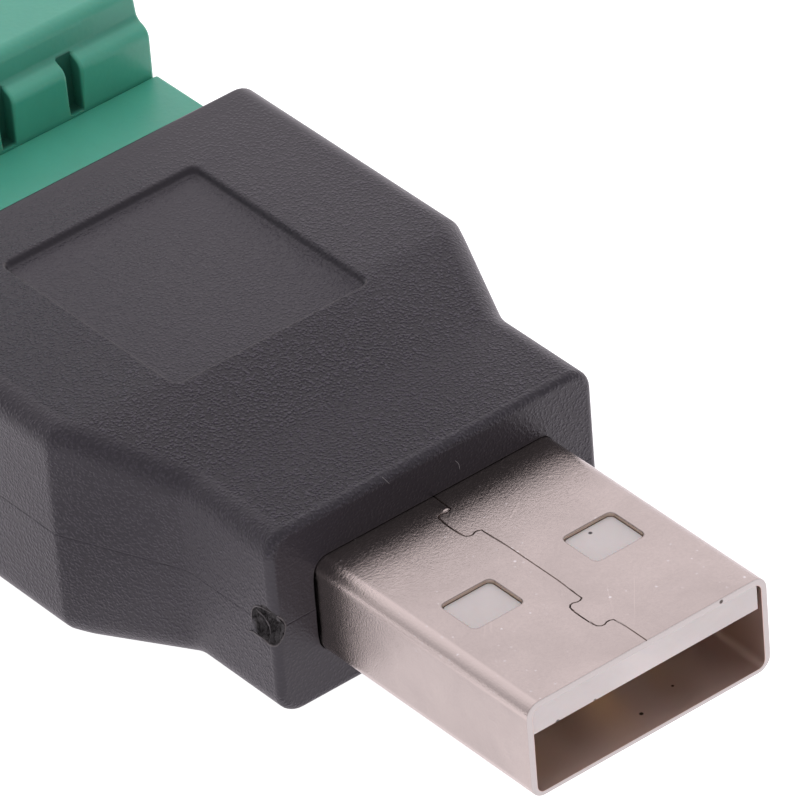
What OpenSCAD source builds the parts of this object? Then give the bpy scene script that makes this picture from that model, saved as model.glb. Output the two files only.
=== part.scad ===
// Adapter from a USB type A plug to a five-pole pluggable screw terminal.
// Millimetres. X runs across the width, the USB plug points along -Y, Z rises from the underside.

/* [USB shell] */
// Outer width of the metal shell
usb_w = 12.0; // [11.6:0.1:12.4]
// Outer height of the metal shell
usb_h = 4.5; // [4.3:0.05:4.8]
// Sheet thickness of the shell
usb_wall = 0.3; // [0.2:0.05:0.4]
// Outer bend radius of the shell's corners
usb_bend_r = 0.65; // [0.5:0.05:0.9]
// Length of shell that stands out of the body
usb_reach = 12.75; // [11.8:0.1:14]
// Length of shell held inside the body
usb_root = 4.6; // [4.2:0.1:5.2]
// Width of each latch window
window_w = 2.5; // [1.6:0.05:2.7]
// Length of each latch window along the plug
window_l = 2.1; // [1.4:0.05:2.4]
// Corner radius of each latch window
window_r = 0.25; // [0.1:0.05:0.5]
// Distance of a window's centre from the plug's centre line
window_offset = 3.04; // [2.8:0.02:3.4]
// Distance from the tip to the windows' front edge
window_setback = 5.1; // [4.6:0.05:5.6]
// Width of the butt seam along the top of the folded sheet
seam_gap = 0.06; // [0.04:0.01:0.12]
// Length of each locking tab in the seam
tab_l = 1.95; // [1.6:0.05:2.4]
// Depth of each locking tab across the seam
tab_w = 0.84; // [0.6:0.02:1]
// Bevel on the outer corners of a locking tab
tab_bevel = 0.24; // [0.2:0.02:0.36]
// Pinch at the neck of a locking tab
tab_neck = 0.14; // [0.08:0.02:0.2]
// Distance of the neck from the seam's line
tab_neck_out = 0.27; // [0.15:0.01:0.3]
// Distance from the body to the rear locking tab
tab_rear = 1.05; // [0.6:0.1:2]
// Distance from the tip to the front locking tab
tab_front = 1.85; // [1:0.1:2.4]

/* [Tongue and contacts] */
// Thickness of the insulating tongue
tongue_t = 1.85; // [1.6:0.05:1.95]
// Height of the tongue's front face above its bevel
tongue_face_h = 1.15; // [0.8:0.05:1.4]
// Length of the bevel under the tongue's front edge
tongue_bevel_l = 0.9; // [0.5:0.1:1.4]
// Distance of the tongue's front face behind the tip
tongue_setback = 0.05; // [0.02:0.01:0.5]
// Gap between the tongue and each side wall of the shell
tongue_side_gap = 0.27; // [0.25:0.01:0.4]
// Depth of the plug's cavity from the tip to the insulator block
cavity_l = 11.0; // [10:0.1:11.6]
// Length of the insulator block inside the body
block_root = 2.6; // [2:0.1:3]
// Width of a plug contact
contact_w = 1.0; // [0.8:0.05:1.2]
// Thickness of a plug contact
contact_t = 0.3; // [0.2:0.02:0.4]
// Distance of the supply contacts from the centre line
supply_contact_x = 3.5; // [3.3:0.05:3.7]
// Distance of the data contacts from the centre line
data_contact_x = 1.0; // [0.9:0.05:1.2]
// Distance from the tip to the front of the supply contacts
supply_setback = 1.5; // [1.3:0.1:2]
// Distance from the tip to the front of the data contacts
data_setback = 2.5; // [2.2:0.1:3.2]
// Length of each contact's tail on the board
tail_l = 3.0; // [2:0.1:4]
// Length over which a contact steps down to the board
tail_step_l = 0.7; // [0.5:0.1:0.9]
// Depth of the insulator's pads below the shell's face in the windows
pad_sink = 0.16; // [0.05:0.01:0.28]
// Gap between a pad and the edge of its window
pad_gap = 0.03; // [0.02:0.01:0.08]

/* [Body] */
// Width of the narrow front block
narrow_w = 16.3; // [15.5:0.1:17]
// Height of the narrow front block
narrow_h = 8.8; // [8:0.1:9.4]
// Length of the narrow front block
narrow_l = 5.4; // [4.8:0.1:6]
// Length of the taper between the narrow and the wide block
taper_l = 5.5; // [4.8:0.1:6]
// Width of the wide rear block
wide_w = 20.9; // [20.4:0.1:22]
// Height of the wide rear block
wide_h = 10.2; // [9.8:0.1:11]
// Length of the whole moulded body
body_l = 24.05; // [23.2:0.1:26]
// Radius along the long edges
edge_r = 1.1; // [0.6:0.1:1.4]
// Radius round the front face
front_r = 0.35; // [0.15:0.05:0.5]
// Radius round the rear face
rear_r = 0.25; // [0.1:0.05:0.4]
// Radius in plan where the narrow block meets the taper
neck_r = 2.0; // [0.5:0.1:4]
// Radius in plan where the taper meets the wide block
shoulder_r = 0.5; // [0.2:0.1:1.5]
// Distance from the front face to the foot of the top slope
slope_foot = 5.2; // [4.4:0.1:6]
// Distance from the front face to the head of the top slope
slope_head = 10.2; // [9:0.1:11]
// Radius that blends the slope into the top faces
slope_r = 5.0; // [1:0.5:12]
// Clearance of the moulding round the pieces it holds
mould_gap = 0.06; // [0.04:0.01:0.1]

/* [Label recess] */
// Width of the shallow label recess
recess_w = 9.7; // [6:0.1:12]
// Length of the shallow label recess
recess_l = 10.9; // [6:0.1:11.5]
// Distance from the rear face to the recess
recess_rear = 3.4; // [2.6:0.1:5]
// Depth of the recess
recess_depth = 0.3; // [0.15:0.05:0.5]
// Corner radius of the recess
recess_corner_r = 0.35; // [0.2:0.1:1.5]

/* [Gate scar] */
// Radius of the scoop torn out where the runner broke off
gate_r = 1.1; // [0.8:0.05:1.4]
// Distance of the scoop's centre outside the side face
gate_out = 0.62; // [0.5:0.02:0.75]
// Distance of the scoop's centre behind the front face
gate_back = 0.45; // [0.3:0.05:0.8]

/* [Carrier board] */
// Thickness of the board
board_t = 1.2; // [0.8:0.1:1.6]
// Width of the board's tab behind the plug
board_tab_w = 11.0; // [9:0.1:12]
// Width of the board outside each end pin
board_side = 0.55; // [0.5:0.05:0.9]
// Length of the wide part of the board
board_wide_l = 8.4; // [7:0.1:8.8]
// Free space between the board and its neighbours along the adapter
board_end_gap = 0.2; // [0.1:0.05:0.4]

/* [Terminal header] */
// Distance between poles
pitch = 3.5; // [3.4:0.02:3.55]
// Distance from the end pole to the header's side
header_end = 2.3; // [2.1:0.05:2.5]
// Height of the header
header_h = 6.7; // [6.5:0.05:7.2]
// Length of the header
header_l = 9.2; // [9:0.1:9.8]
// Length of header that stands out of the body
header_out = 5.1; // [4:0.1:5.6]
// Side wall of the header
header_side_wall = 0.7; // [0.5:0.05:0.8]
// Top wall of the header
header_top_wall = 0.8; // [0.6:0.05:1]
// Bottom wall of the header
header_bottom_wall = 1.1; // [1:0.05:1.3]
// Back wall of the header
header_back_wall = 1.8; // [1.4:0.1:1.9]
// Thickness of the square pins
pin_t = 0.8; // [0.6:0.05:0.9]
// Distance from the header's rim to the pin tips
pin_setback = 1.4; // [1.2:0.1:2]
// Length of the tapered pin tip
pin_taper_l = 0.6; // [0.3:0.1:0.9]
// Thickness of the square pins at their tip
pin_tip_t = 0.4; // [0.2:0.05:0.6]
// Length of each pin over the board
pin_tail_l = 5.0; // [3:0.1:6]

/* [Terminal plug] */
// Distance from the end pole to the plug's side
plug_end = 2.2; // [2:0.05:2.3]
// Height of the plug
plug_h = 10.6; // [10.4:0.1:11.8]
// Length of the plug outside the header
plug_l = 9.4; // [9.1:0.1:10.5]
// Length of the nose that enters the header
nose_l = 7.0; // [6.8:0.1:7.2]
// Wall at the front of the nose
nose_front_wall = 0.5; // [0.4:0.1:0.6]
// Height of the front ribs above the header's top
rib_h = 2.2; // [1.6:0.1:2.6]
// Radius on the front ribs' top edge
rib_r = 0.6; // [0.3:0.1:0.8]
// Length of the front ribs
rib_l = 0.75; // [0.65:0.05:1.2]
// Rise of the ribs' top towards the leaning face
rib_rise = 0.3; // [0.1:0.05:0.4]
// Radius in the hollow between the ribs and the leaning face
lean_r = 0.4; // [0.2:0.05:0.6]
// Lean of the face above the ribs, in degrees from upright
lean = 9; // [5:1:22]
// Radius where the leaning face meets the top
crest_r = 0.6; // [0.2:0.05:0.8]
// Width of the slots between the ribs
rib_slot_w = 0.72; // [0.4:0.02:1]
// Depth of the slots between the ribs
rib_slot_d = 0.7; // [0.3:0.05:0.85]
// Width of each polarising key under the nose
key_w = 1.2; // [0.8:0.1:1.6]
// Height of each polarising key under the nose
key_h = 0.4; // [0.2:0.05:0.45]
// Bevel along the top rear edge
plug_bevel = 0.7; // [0.3:0.1:1]
// Radius on the plug's other long edges
plug_edge_r = 0.15; // [0.05:0.05:0.25]
// Width of a wire entry inside the plug
wire_w = 2.3; // [1.8:0.1:2.5]
// Flare of a wire entry on each side at the rear face
wire_flare = 0.3; // [0.1:0.05:0.35]
// Length of the flare at the rear face
wire_flare_l = 1.2; // [0.6:0.1:1.5]

/* [Clamp] */
// Distance from the plug's front face to the screw axes
clamp_back = 5.0; // [4.8:0.1:5.2]
// Thread diameter of the clamp screws
screw_d = 2.0; // [1.7:0.1:2.1]
// Thread pitch of the clamp screws
thread_pitch = 0.4; // [0.35:0.05:0.45]
// Turns from fully open to fully clamped
clamp_turns = 4; // [3:0.5:4]
// Diameter of a screw head
head_d = 2.6; // [2.4:0.05:2.7]
// Height of a screw head
head_h = 1.6; // [1.2:0.1:1.8]
// Depth of a screw head below the plug's top
head_sink = 1.1; // [0.6:0.1:1.3]
// Width of the driver slot
driver_slot_w = 0.5; // [0.35:0.05:0.7]
// Depth of the driver slot
driver_slot_d = 0.7; // [0.4:0.05:0.9]
// Bevel on the screw's head and point
screw_bevel = 0.15; // [0.1:0.05:0.25]
// Length of a clamp cage along the wire
cage_l = 3.0; // [2.6:0.1:3.2]
// Side walls of a clamp cage
cage_side = 0.3; // [0.2:0.02:0.32]
// Floor of a clamp cage
cage_floor = 0.5; // [0.4:0.05:0.6]
// Threaded top of a clamp cage
cage_top = 1.2; // [0.9:0.1:1.3]
// Corner radius of a clamp cage
cage_r = 0.3; // [0.15:0.05:0.4]
// Open height for a wire under the current bar
wire_space = 1.8; // [1.7:0.05:1.85]
// Thickness of the current bar
bar_t = 0.5; // [0.4:0.05:0.6]
// Width of the current bar
bar_w = 1.4; // [1.2:0.05:1.5]
// Thickness of the spring leaves that grip a pin
leaf_t = 0.3; // [0.2:0.02:0.35]
// Height of the spring leaves
leaf_h = 1.3; // [1:0.05:1.4]
// Opening of the spring leaves at their mouth, on each side
leaf_flare = 0.2; // [0.1:0.02:0.24]
// Length of the leaves' flared mouth
leaf_mouth_l = 0.9; // [0.6:0.1:1.2]

/* [Fits] */
// Sliding clearance between flat faces
slide_gap = 0.1; // [0.06:0.01:0.12]
// Turning clearance round the screws
turn_gap = 0.05; // [0.03:0.01:0.08]
// Gap between pieces that seat on each other
seat_gap = 0.02; // [0.01:0.01:0.04]

/* [Hidden] */
poles = 5;
cut = 1;
arc_steps = 5;
corner_steps = 6;
round_fn = 64;
$fn = round_fn;

mid_z = wide_h / 2;
shoulder_y = narrow_l + taper_l;
header_w = (poles - 1) * pitch + 2 * header_end;
header_rim_y = body_l + header_out;
header_back_y = header_rim_y - header_l;
header_top_z = mid_z + header_h / 2;
header_bottom_z = mid_z - header_h / 2;
header_floor_y = header_back_y + header_back_wall;
header_cavity_w = header_w - 2 * header_side_wall;
header_cavity_top = header_top_z - header_top_wall;
header_cavity_bottom = header_bottom_z + header_bottom_wall;
pin_tip_y = header_rim_y - pin_setback;

plug_face_y = header_rim_y + turn_gap;
plug_rear_y = plug_face_y + plug_l;
plug_w = (poles - 1) * pitch + 2 * plug_end;
plug_bottom_z = header_bottom_z;
plug_top_z = plug_bottom_z + plug_h;
nose_front_y = plug_face_y - nose_l;
screw_y = plug_face_y + clamp_back;
centre_y = (plug_rear_y - usb_reach) / 2;

window_mid_y = window_setback + window_l / 2 - usb_reach;
usb_inner_w = usb_w - 2 * usb_wall;
usb_inner_h = usb_h - 2 * usb_wall;
tongue_w = usb_inner_w - 2 * tongue_side_gap;
tongue_top_z = mid_z + usb_inner_h / 2 - seat_gap;
tongue_bottom_z = tongue_top_z - tongue_t;
tongue_front_y = tongue_setback - usb_reach;
board_w = (poles - 1) * pitch + pin_t + 2 * board_side;
board_top_z = mid_z - pin_t / 2 - seat_gap;
board_bottom_z = board_top_z - board_t;
board_front_y = usb_root + board_end_gap;
board_rear_y = header_back_y - board_end_gap;

bar_bottom_z = mid_z - bar_t / 2;
bar_top_z = mid_z + bar_t / 2;
cage_inner_w = screw_d + 2 * slide_gap;
cage_w = cage_inner_w + 2 * cage_side;
cage_bottom_z = bar_bottom_z - wire_space - cage_floor;
cage_window_h = wire_space + bar_t + slide_gap;
cage_h = cage_floor + cage_window_h + cage_top;
clamp_travel = clamp_turns * thread_pitch;
pocket_bottom_z = cage_bottom_z - turn_gap;
pocket_top_z = cage_bottom_z + cage_h + clamp_travel + slide_gap;
pocket_w = cage_w + 2 * slide_gap;
pocket_l = cage_l + 2 * slide_gap;
pocket_rear_y = screw_y + pocket_l / 2;
head_top_z = plug_top_z - head_sink;
head_bottom_z = head_top_z - head_h;
leaf_gap = pin_t / 2 + turn_gap;
channel_w = 2 * (leaf_gap + leaf_flare + leaf_t + slide_gap);
channel_h = leaf_h + 2 * slide_gap;
fork_y = pin_tip_y + leaf_t;

nickel = "#c3b7b1";
white_plastic = "#d5cdca";
gold = "#cda95a";
black_plastic = "#4b484c";
board_green = "#2d6244";
terminal_green = "#46a080";
tin = "#cfcdc6";
plated_brass = "#c9bf9f";
zinc = "#bdbfbd";

// Place of pole i across the width
function pole_x(i) = (i - (poles - 1) / 2) * pitch;

function unit(v) = v / norm(v);

// Ascending copy of a list, with repeats dropped
function ascending(v) =
    len(v) < 2 ? v :
    let (p = v[floor(len(v) / 2)])
    concat(ascending([for (x = v) if (x < p) x]), [p], ascending([for (x = v) if (x > p) x]));

// Arc of radius r that rounds corner b on the way from a to c
function corner_arc(a, b, c, r) =
    let (u = unit(a - b),
         v = unit(c - b),
         half = acos(u * v) / 2,
         centre = b + unit(u + v) * r / sin(half),
         start = b + u * r / tan(half) - centre,
         finish = b + v * r / tan(half) - centre,
         from = atan2(start[1], start[0]),
         turn = (atan2(finish[1], finish[0]) - from + 540) % 360 - 180)
    [for (k = [0:arc_steps]) let (t = from + turn * k / arc_steps) centre + r * [cos(t), sin(t)]];

function flat(p) = [p[0], p[1]];

// Closed outline whose corners [x, y, r] are rounded by their radius r
function rounded(points) =
    let (n = len(points))
    [for (i = [0:n - 1])
        let (before = points[(i + n - 1) % n], here = points[i], after = points[(i + 1) % n])
        each here[2] > 0
            ? corner_arc(flat(before), flat(here), flat(after), here[2])
            : [flat(here)]];

// Half width and half height of the body against the distance from its front face
body_plan = rounded([
    [0, narrow_w / 2, 0],
    [narrow_l, narrow_w / 2, neck_r],
    [shoulder_y, wide_w / 2, shoulder_r],
    [body_l, wide_w / 2, 0]
]);
body_side = rounded([
    [0, narrow_h / 2, 0],
    [slope_foot, narrow_h / 2, slope_r],
    [slope_head, wide_h / 2, slope_r],
    [body_l, wide_h / 2, 0]
]);

// Inset of the section near the rounded front and rear faces
function end_inset(y) =
    let (f = max(front_r - y, 0), b = max(y - body_l + rear_r, 0))
    front_r - sqrt(front_r * front_r - f * f) + rear_r - sqrt(max(rear_r * rear_r - b * b, 0));

body_stations = ascending(concat(
    [for (k = [0:arc_steps]) front_r * (1 - cos(90 * k / arc_steps))],
    [for (p = body_plan) if (p[0] > front_r && p[0] < body_l - rear_r) p[0]],
    [for (p = body_side) if (p[0] > front_r && p[0] < body_l - rear_r) p[0]],
    [for (k = [0:arc_steps]) body_l - rear_r * (1 - sin(90 * k / arc_steps))]
));

// Rounded rectangle across the body at distance y from the front face
function body_ring(y) =
    let (inset = end_inset(y),
         w = lookup(y, body_plan) - inset,
         h = lookup(y, body_side) - inset,
         r = edge_r - inset)
    [for (q = [0:3], k = [0:corner_steps])
        let (t = 90 * (q + k / corner_steps),
             sx = q == 0 || q == 3 ? 1 : -1,
             sz = q < 2 ? 1 : -1)
        [sx * (w - r) + r * cos(t), y, mid_z + sz * (h - r) + r * sin(t)]];

// Closed loft through the sections at all stations
module body_loft() {
    n = 4 * (corner_steps + 1);
    last = len(body_stations) - 1;
    points = [for (y = body_stations) each body_ring(y)];
    sides = [for (i = [0:last - 1], j = [0:n - 1])
        let (a = i * n + j, b = i * n + (j + 1) % n)
        each [[a, b, b + n], [a, b + n, a + n]]];
    front = [[for (j = [n - 1:-1:0]) j]];
    rear = [[for (j = [0:n - 1]) last * n + j]];
    polyhedron(points, concat(front, sides, rear));
}

// Rectangle with round corners, centred
module rounded_rect(w, h, r) {
    square([w - 2 * r, h], center = true);
    square([w, h - 2 * r], center = true);
    for (sx = [-1, 1], sy = [-1, 1])
        translate([sx * (w / 2 - r), sy * (h / 2 - r)])
            circle(r);
}

// Box centred on X, between two places on Y and two on Z
module bar_between(w, y0, y1, z0, z1) {
    translate([-w / 2, y0, z0])
        cube([w, y1 - y0, z1 - z0]);
}

// Outline drawn on X and Z, carried along Y between two places
module along_y(y0, y1) {
    translate([0, y1, 0])
        rotate([90, 0, 0])
            linear_extrude(y1 - y0)
                children();
}

// Outline drawn on Y and Z, carried across the width w
module across_x(w) {
    translate([-w / 2, 0, 0])
        rotate([90, 0, 90])
            linear_extrude(w)
                children();
}

// Four-sided funnel along Y from half sizes a at y0 to half sizes b at y1
module funnel(y0, a, y1, b, z) {
    corners = [[-1, -1], [1, -1], [1, 1], [-1, 1]];
    points = concat(
        [for (c = corners) [c[0] * a[0], y0, z + c[1] * a[1]]],
        [for (c = corners) [c[0] * b[0], y1, z + c[1] * b[1]]]
    );
    sides = [for (j = [0:3]) [j, (j + 1) % 4, (j + 1) % 4 + 4, j + 4]];
    polyhedron(points, concat([[3, 2, 1, 0]], sides, [[4, 5, 6, 7]]));
}

// Puts a piece drawn from the body's front face into the adapter's own frame
module place() {
    translate([0, -centre_y, 0])
        children();
}

// Places a repeated piece on pole i
module on_pole(i) {
    translate([pole_x(i), 0, 0])
        children();
}

// Thin cut that follows a path of straight stretches
module cut_along(path, w) {
    for (i = [0:len(path) - 2]) {
        d = path[i + 1] - path[i];
        translate(path[i])
            rotate(atan2(d[1], d[0]))
                translate([-w / 2, -w / 2])
                    square([norm(d) + w, w]);
    }
}

// Outline of one locking tab, from its rear neck to its front neck
function tab_path(y) = [
    [0, y],
    [-tab_neck_out, y - tab_neck],
    [-tab_w + tab_bevel, y],
    [-tab_w, y - tab_bevel],
    [-tab_w, y - tab_l + tab_bevel],
    [-tab_w + tab_bevel, y - tab_l],
    [-tab_neck_out, y - tab_l + tab_neck],
    [0, y - tab_l]
];

module usb_shell() {
    seam = concat(
        [[0, usb_root + cut]],
        tab_path(-tab_rear),
        tab_path(tab_front + tab_l - usb_reach),
        [[0, -usb_reach - cut]]
    );
    color(nickel)
        place()
            difference() {
                along_y(-usb_reach, usb_root)
                    translate([0, mid_z])
                        difference() {
                            rounded_rect(usb_w, usb_h, usb_bend_r);
                            rounded_rect(usb_inner_w, usb_inner_h, usb_bend_r - usb_wall);
                        }
                for (sx = [-1, 1])
                    translate([sx * window_offset, window_mid_y, mid_z - usb_h])
                        linear_extrude(2 * usb_h)
                            rounded_rect(window_w, window_l, window_r);
                translate([0, 0, mid_z])
                    linear_extrude(usb_h)
                        cut_along(seam, seam_gap);
            }
}

module usb_tongue() {
    block_y = cavity_l - usb_reach;
    block_bottom_z = mid_z - usb_inner_h / 2 + seat_gap;
    groove_top_z = tongue_bottom_z + contact_t + seat_gap;
    pad_top_z = mid_z + usb_h / 2 - pad_sink;
    contacts = [[-supply_contact_x, supply_setback], [-data_contact_x, data_setback],
                [data_contact_x, data_setback], [supply_contact_x, supply_setback]];
    color(white_plastic)
        place()
            difference() {
                union() {
                    across_x(tongue_w)
                        polygon([
                            [tongue_front_y, tongue_top_z],
                            [tongue_front_y, tongue_top_z - tongue_face_h],
                            [tongue_front_y + tongue_bevel_l, tongue_bottom_z],
                            [block_y, tongue_bottom_z],
                            [block_y, block_bottom_z],
                            [block_root, block_bottom_z],
                            [block_root, tongue_top_z]
                        ]);
                    for (sx = [-1, 1])
                        translate([sx * window_offset, window_mid_y, tongue_bottom_z])
                            linear_extrude(pad_top_z - tongue_bottom_z)
                                rounded_rect(window_w - 2 * pad_gap, window_l - 2 * pad_gap, window_r);
                }
                for (c = contacts)
                    translate([c[0], 0, 0])
                        bar_between(contact_w + 2 * seat_gap, c[1] - usb_reach - seat_gap, block_root + cut,
                                    tongue_bottom_z - seat_gap, groove_top_z);
            }
}

// Contact strip in the tongue's underside, stepping down to the board behind the block
module usb_contact(x, setback) {
    front_y = setback - usb_reach;
    step_y = block_root + contact_t;
    tail_y = step_y + tail_step_l;
    end_y = board_front_y + tail_l;
    tail_z = board_top_z + seat_gap;
    color(gold)
        place()
            translate([x, 0, 0])
                across_x(contact_w)
                    polygon([
                        [front_y, tongue_bottom_z],
                        [step_y, tongue_bottom_z],
                        [tail_y, tail_z],
                        [end_y, tail_z],
                        [end_y, tail_z + contact_t],
                        [tail_y, tail_z + contact_t],
                        [step_y, tongue_bottom_z + contact_t],
                        [front_y, tongue_bottom_z + contact_t]
                    ]);
}

module overmould() {
    recess_y = body_l - recess_rear - recess_l / 2;
    tails_top_z = mid_z + pin_t / 2 + mould_gap;
    color(black_plastic)
        place()
            difference() {
                body_loft();
                translate([0, recess_y, wide_h - recess_depth])
                    linear_extrude(cut)
                        rounded_rect(recess_w, recess_l, recess_corner_r);
                translate([-narrow_w / 2 - gate_out, gate_back, mid_z])
                    sphere(gate_r);
                along_y(-cut, usb_root + mould_gap)
                    translate([0, mid_z])
                        rounded_rect(usb_w + 2 * mould_gap, usb_h + 2 * mould_gap, usb_bend_r + mould_gap);
                bar_between(board_tab_w + 2 * mould_gap, usb_root, header_back_y,
                            board_bottom_z - mould_gap, tails_top_z);
                bar_between(board_w + 2 * mould_gap, board_rear_y - board_wide_l - mould_gap, header_back_y,
                            board_bottom_z - mould_gap, tails_top_z);
                bar_between(header_w + 2 * mould_gap, header_back_y - mould_gap, body_l + cut,
                            header_bottom_z - mould_gap, header_top_z + mould_gap);
            }
}

module carrier_board() {
    color(board_green)
        place() {
            bar_between(board_tab_w, board_front_y, board_rear_y, board_bottom_z, board_top_z);
            bar_between(board_w, board_rear_y - board_wide_l, board_rear_y, board_bottom_z, board_top_z);
        }
}

module header_housing() {
    hole = pin_t + 2 * seat_gap;
    groove_bottom_z = header_cavity_bottom - key_h;
    color(terminal_green)
        place()
            difference() {
                bar_between(header_w, header_back_y, header_rim_y, header_bottom_z, header_top_z);
                bar_between(header_cavity_w, header_floor_y, header_rim_y + cut,
                            header_cavity_bottom, header_cavity_top);
                for (i = [0:poles - 1])
                    on_pole(i) {
                        bar_between(hole, header_back_y - cut, header_rim_y,
                                    mid_z - hole / 2, mid_z + hole / 2);
                        bar_between(key_w + 2 * slide_gap, header_floor_y, header_rim_y + cut,
                                    groove_bottom_z, mid_z);
                    }
            }
}

// Straight square pin with a tapered tip, from the board to the header's mouth
module header_pin(i) {
    half = pin_t / 2;
    tip_half = pin_tip_t / 2;
    taper_y = pin_tip_y - pin_taper_l;
    color(tin)
        place()
            on_pole(i)
                union() {
                    bar_between(pin_t, header_back_y - pin_tail_l, taper_y, mid_z - half, mid_z + half);
                    funnel(taper_y, [half, half], pin_tip_y, [tip_half, tip_half], mid_z);
                }
}

// Side outline of the plug outside the header
function plug_outline() =
    let (rib_z = header_top_z + rib_h,
         lean_z = rib_z + rib_rise,
         lean_run = (plug_top_z - lean_z) * tan(lean))
    rounded([
        [plug_face_y, plug_bottom_z, plug_edge_r],
        [plug_rear_y, plug_bottom_z, plug_edge_r],
        [plug_rear_y, plug_top_z - plug_bevel, plug_edge_r],
        [plug_rear_y - plug_bevel, plug_top_z, plug_edge_r],
        [plug_face_y + rib_l + lean_run, plug_top_z, crest_r],
        [plug_face_y + rib_l, lean_z, lean_r],
        [plug_face_y, rib_z, rib_r]
    ]);

// Well, cage pocket, wire entry and contact channel of one pole
module plug_chamber() {
    entry_h = wire_space + bar_t;
    entry_z = bar_top_z - entry_h / 2;
    flare_y = plug_rear_y - wire_flare_l;
    mouth = pin_t + 2 * slide_gap;
    spread = wire_flare * (1 + cut / wire_flare_l);
    flared = [wire_w / 2 + spread, entry_h / 2 + spread];
    translate([0, screw_y, head_bottom_z - turn_gap])
        cylinder(h = plug_h, d = head_d + 2 * turn_gap);
    translate([0, screw_y, mid_z])
        cylinder(h = head_bottom_z - mid_z, d = screw_d + 2 * turn_gap);
    bar_between(pocket_w, screw_y - pocket_l / 2, pocket_rear_y, pocket_bottom_z, pocket_top_z);
    bar_between(wire_w, screw_y, plug_rear_y, entry_z - entry_h / 2, entry_z + entry_h / 2);
    funnel(flare_y, [wire_w / 2, entry_h / 2], plug_rear_y + cut, flared, entry_z);
    bar_between(channel_w, nose_front_y + nose_front_wall, screw_y,
                mid_z - channel_h / 2, mid_z + channel_h / 2);
    bar_between(mouth, nose_front_y - cut, screw_y, mid_z - mouth / 2, mid_z + mouth / 2);
}

module plug_housing() {
    nose_top_z = header_cavity_top - slide_gap;
    nose_bottom_z = header_cavity_bottom + slide_gap;
    color(terminal_green)
        place()
            difference() {
                union() {
                    across_x(plug_w)
                        polygon(plug_outline());
                    bar_between(header_cavity_w - 2 * slide_gap, nose_front_y, screw_y,
                                nose_bottom_z, nose_top_z);
                    for (i = [0:poles - 1])
                        on_pole(i)
                            bar_between(key_w, nose_front_y, screw_y, nose_bottom_z - key_h, mid_z);
                }
                for (i = [0:poles - 2])
                    translate([(pole_x(i) + pole_x(i + 1)) / 2, 0, 0])
                        bar_between(rib_slot_w, plug_face_y - cut, plug_face_y + rib_slot_d,
                                    header_top_z, plug_top_z);
                for (i = [0:poles - 1])
                    on_pole(i)
                        plug_chamber();
            }
}

// Fork that grips a pin, with the bar that the wire is clamped against
module plug_contact(i) {
    mouth_y = nose_front_y + nose_front_wall + slide_gap;
    grip_y = mouth_y + leaf_mouth_l;
    end_y = screw_y + cage_l / 2;
    color(plated_brass)
        place()
            on_pole(i)
                union() {
                    bar_between(bar_w, fork_y, end_y, bar_bottom_z, bar_top_z);
                    bar_between(2 * (leaf_gap + leaf_t), fork_y, fork_y + leaf_t,
                                mid_z - leaf_h / 2, mid_z + leaf_h / 2);
                    for (s = [0, 1])
                        mirror([s, 0, 0])
                            translate([0, 0, mid_z - leaf_h / 2])
                                linear_extrude(leaf_h)
                                    polygon([
                                        [leaf_gap + leaf_flare, mouth_y],
                                        [leaf_gap, grip_y],
                                        [leaf_gap, fork_y + leaf_t],
                                        [leaf_gap + leaf_t, fork_y + leaf_t],
                                        [leaf_gap + leaf_t, grip_y],
                                        [leaf_gap + leaf_flare + leaf_t, mouth_y]
                                    ]);
                }
}

// Folded clamp cage, in its open place
module clamp_cage(i) {
    window_z = cage_bottom_z + cage_floor;
    color(plated_brass)
        place()
            on_pole(i)
                difference() {
                    along_y(screw_y - cage_l / 2, screw_y + cage_l / 2)
                        translate([0, cage_bottom_z + cage_h / 2])
                            rounded_rect(cage_w, cage_h, cage_r);
                    bar_between(cage_inner_w, screw_y - cage_l, screw_y + cage_l,
                                window_z, window_z + cage_window_h);
                    translate([0, screw_y, mid_z])
                        cylinder(h = cage_h, d = screw_d + 2 * turn_gap);
                }
}

// Slotted clamp screw standing on the current bar
module clamp_screw(i) {
    tip_z = bar_top_z + turn_gap;
    color(zinc)
        place()
            on_pole(i)
                translate([0, screw_y, 0])
                    difference() {
                        rotate_extrude()
                            polygon([
                                [0, tip_z],
                                [screw_d / 2 - screw_bevel, tip_z],
                                [screw_d / 2, tip_z + screw_bevel],
                                [screw_d / 2, head_bottom_z],
                                [head_d / 2, head_bottom_z],
                                [head_d / 2, head_top_z - screw_bevel],
                                [head_d / 2 - screw_bevel, head_top_z],
                                [0, head_top_z]
                            ]);
                        translate([-head_d, -driver_slot_w / 2, head_top_z - driver_slot_d])
                            cube([2 * head_d, driver_slot_w, head_h]);
                    }
}

usb_shell();
usb_tongue();
usb_contact(-supply_contact_x, supply_setback);  // usb_contact_supply
usb_contact(-data_contact_x, data_setback);  // usb_contact_data_minus
usb_contact(data_contact_x, data_setback);  // usb_contact_data_plus
usb_contact(supply_contact_x, supply_setback);  // usb_contact_ground
overmould();
carrier_board();
header_housing();
plug_housing();
for (i = [0:poles - 1]) {
    header_pin(i);
    plug_contact(i);
    clamp_cage(i);
    clamp_screw(i);
}
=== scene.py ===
"""Looks of a USB plug to screw terminal adapter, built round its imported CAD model."""
import math

import bmesh
import bpy
import numpy as np
from bpy.props import FloatProperty, FloatVectorProperty, PointerProperty
from mathutils import Matrix, Vector


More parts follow.
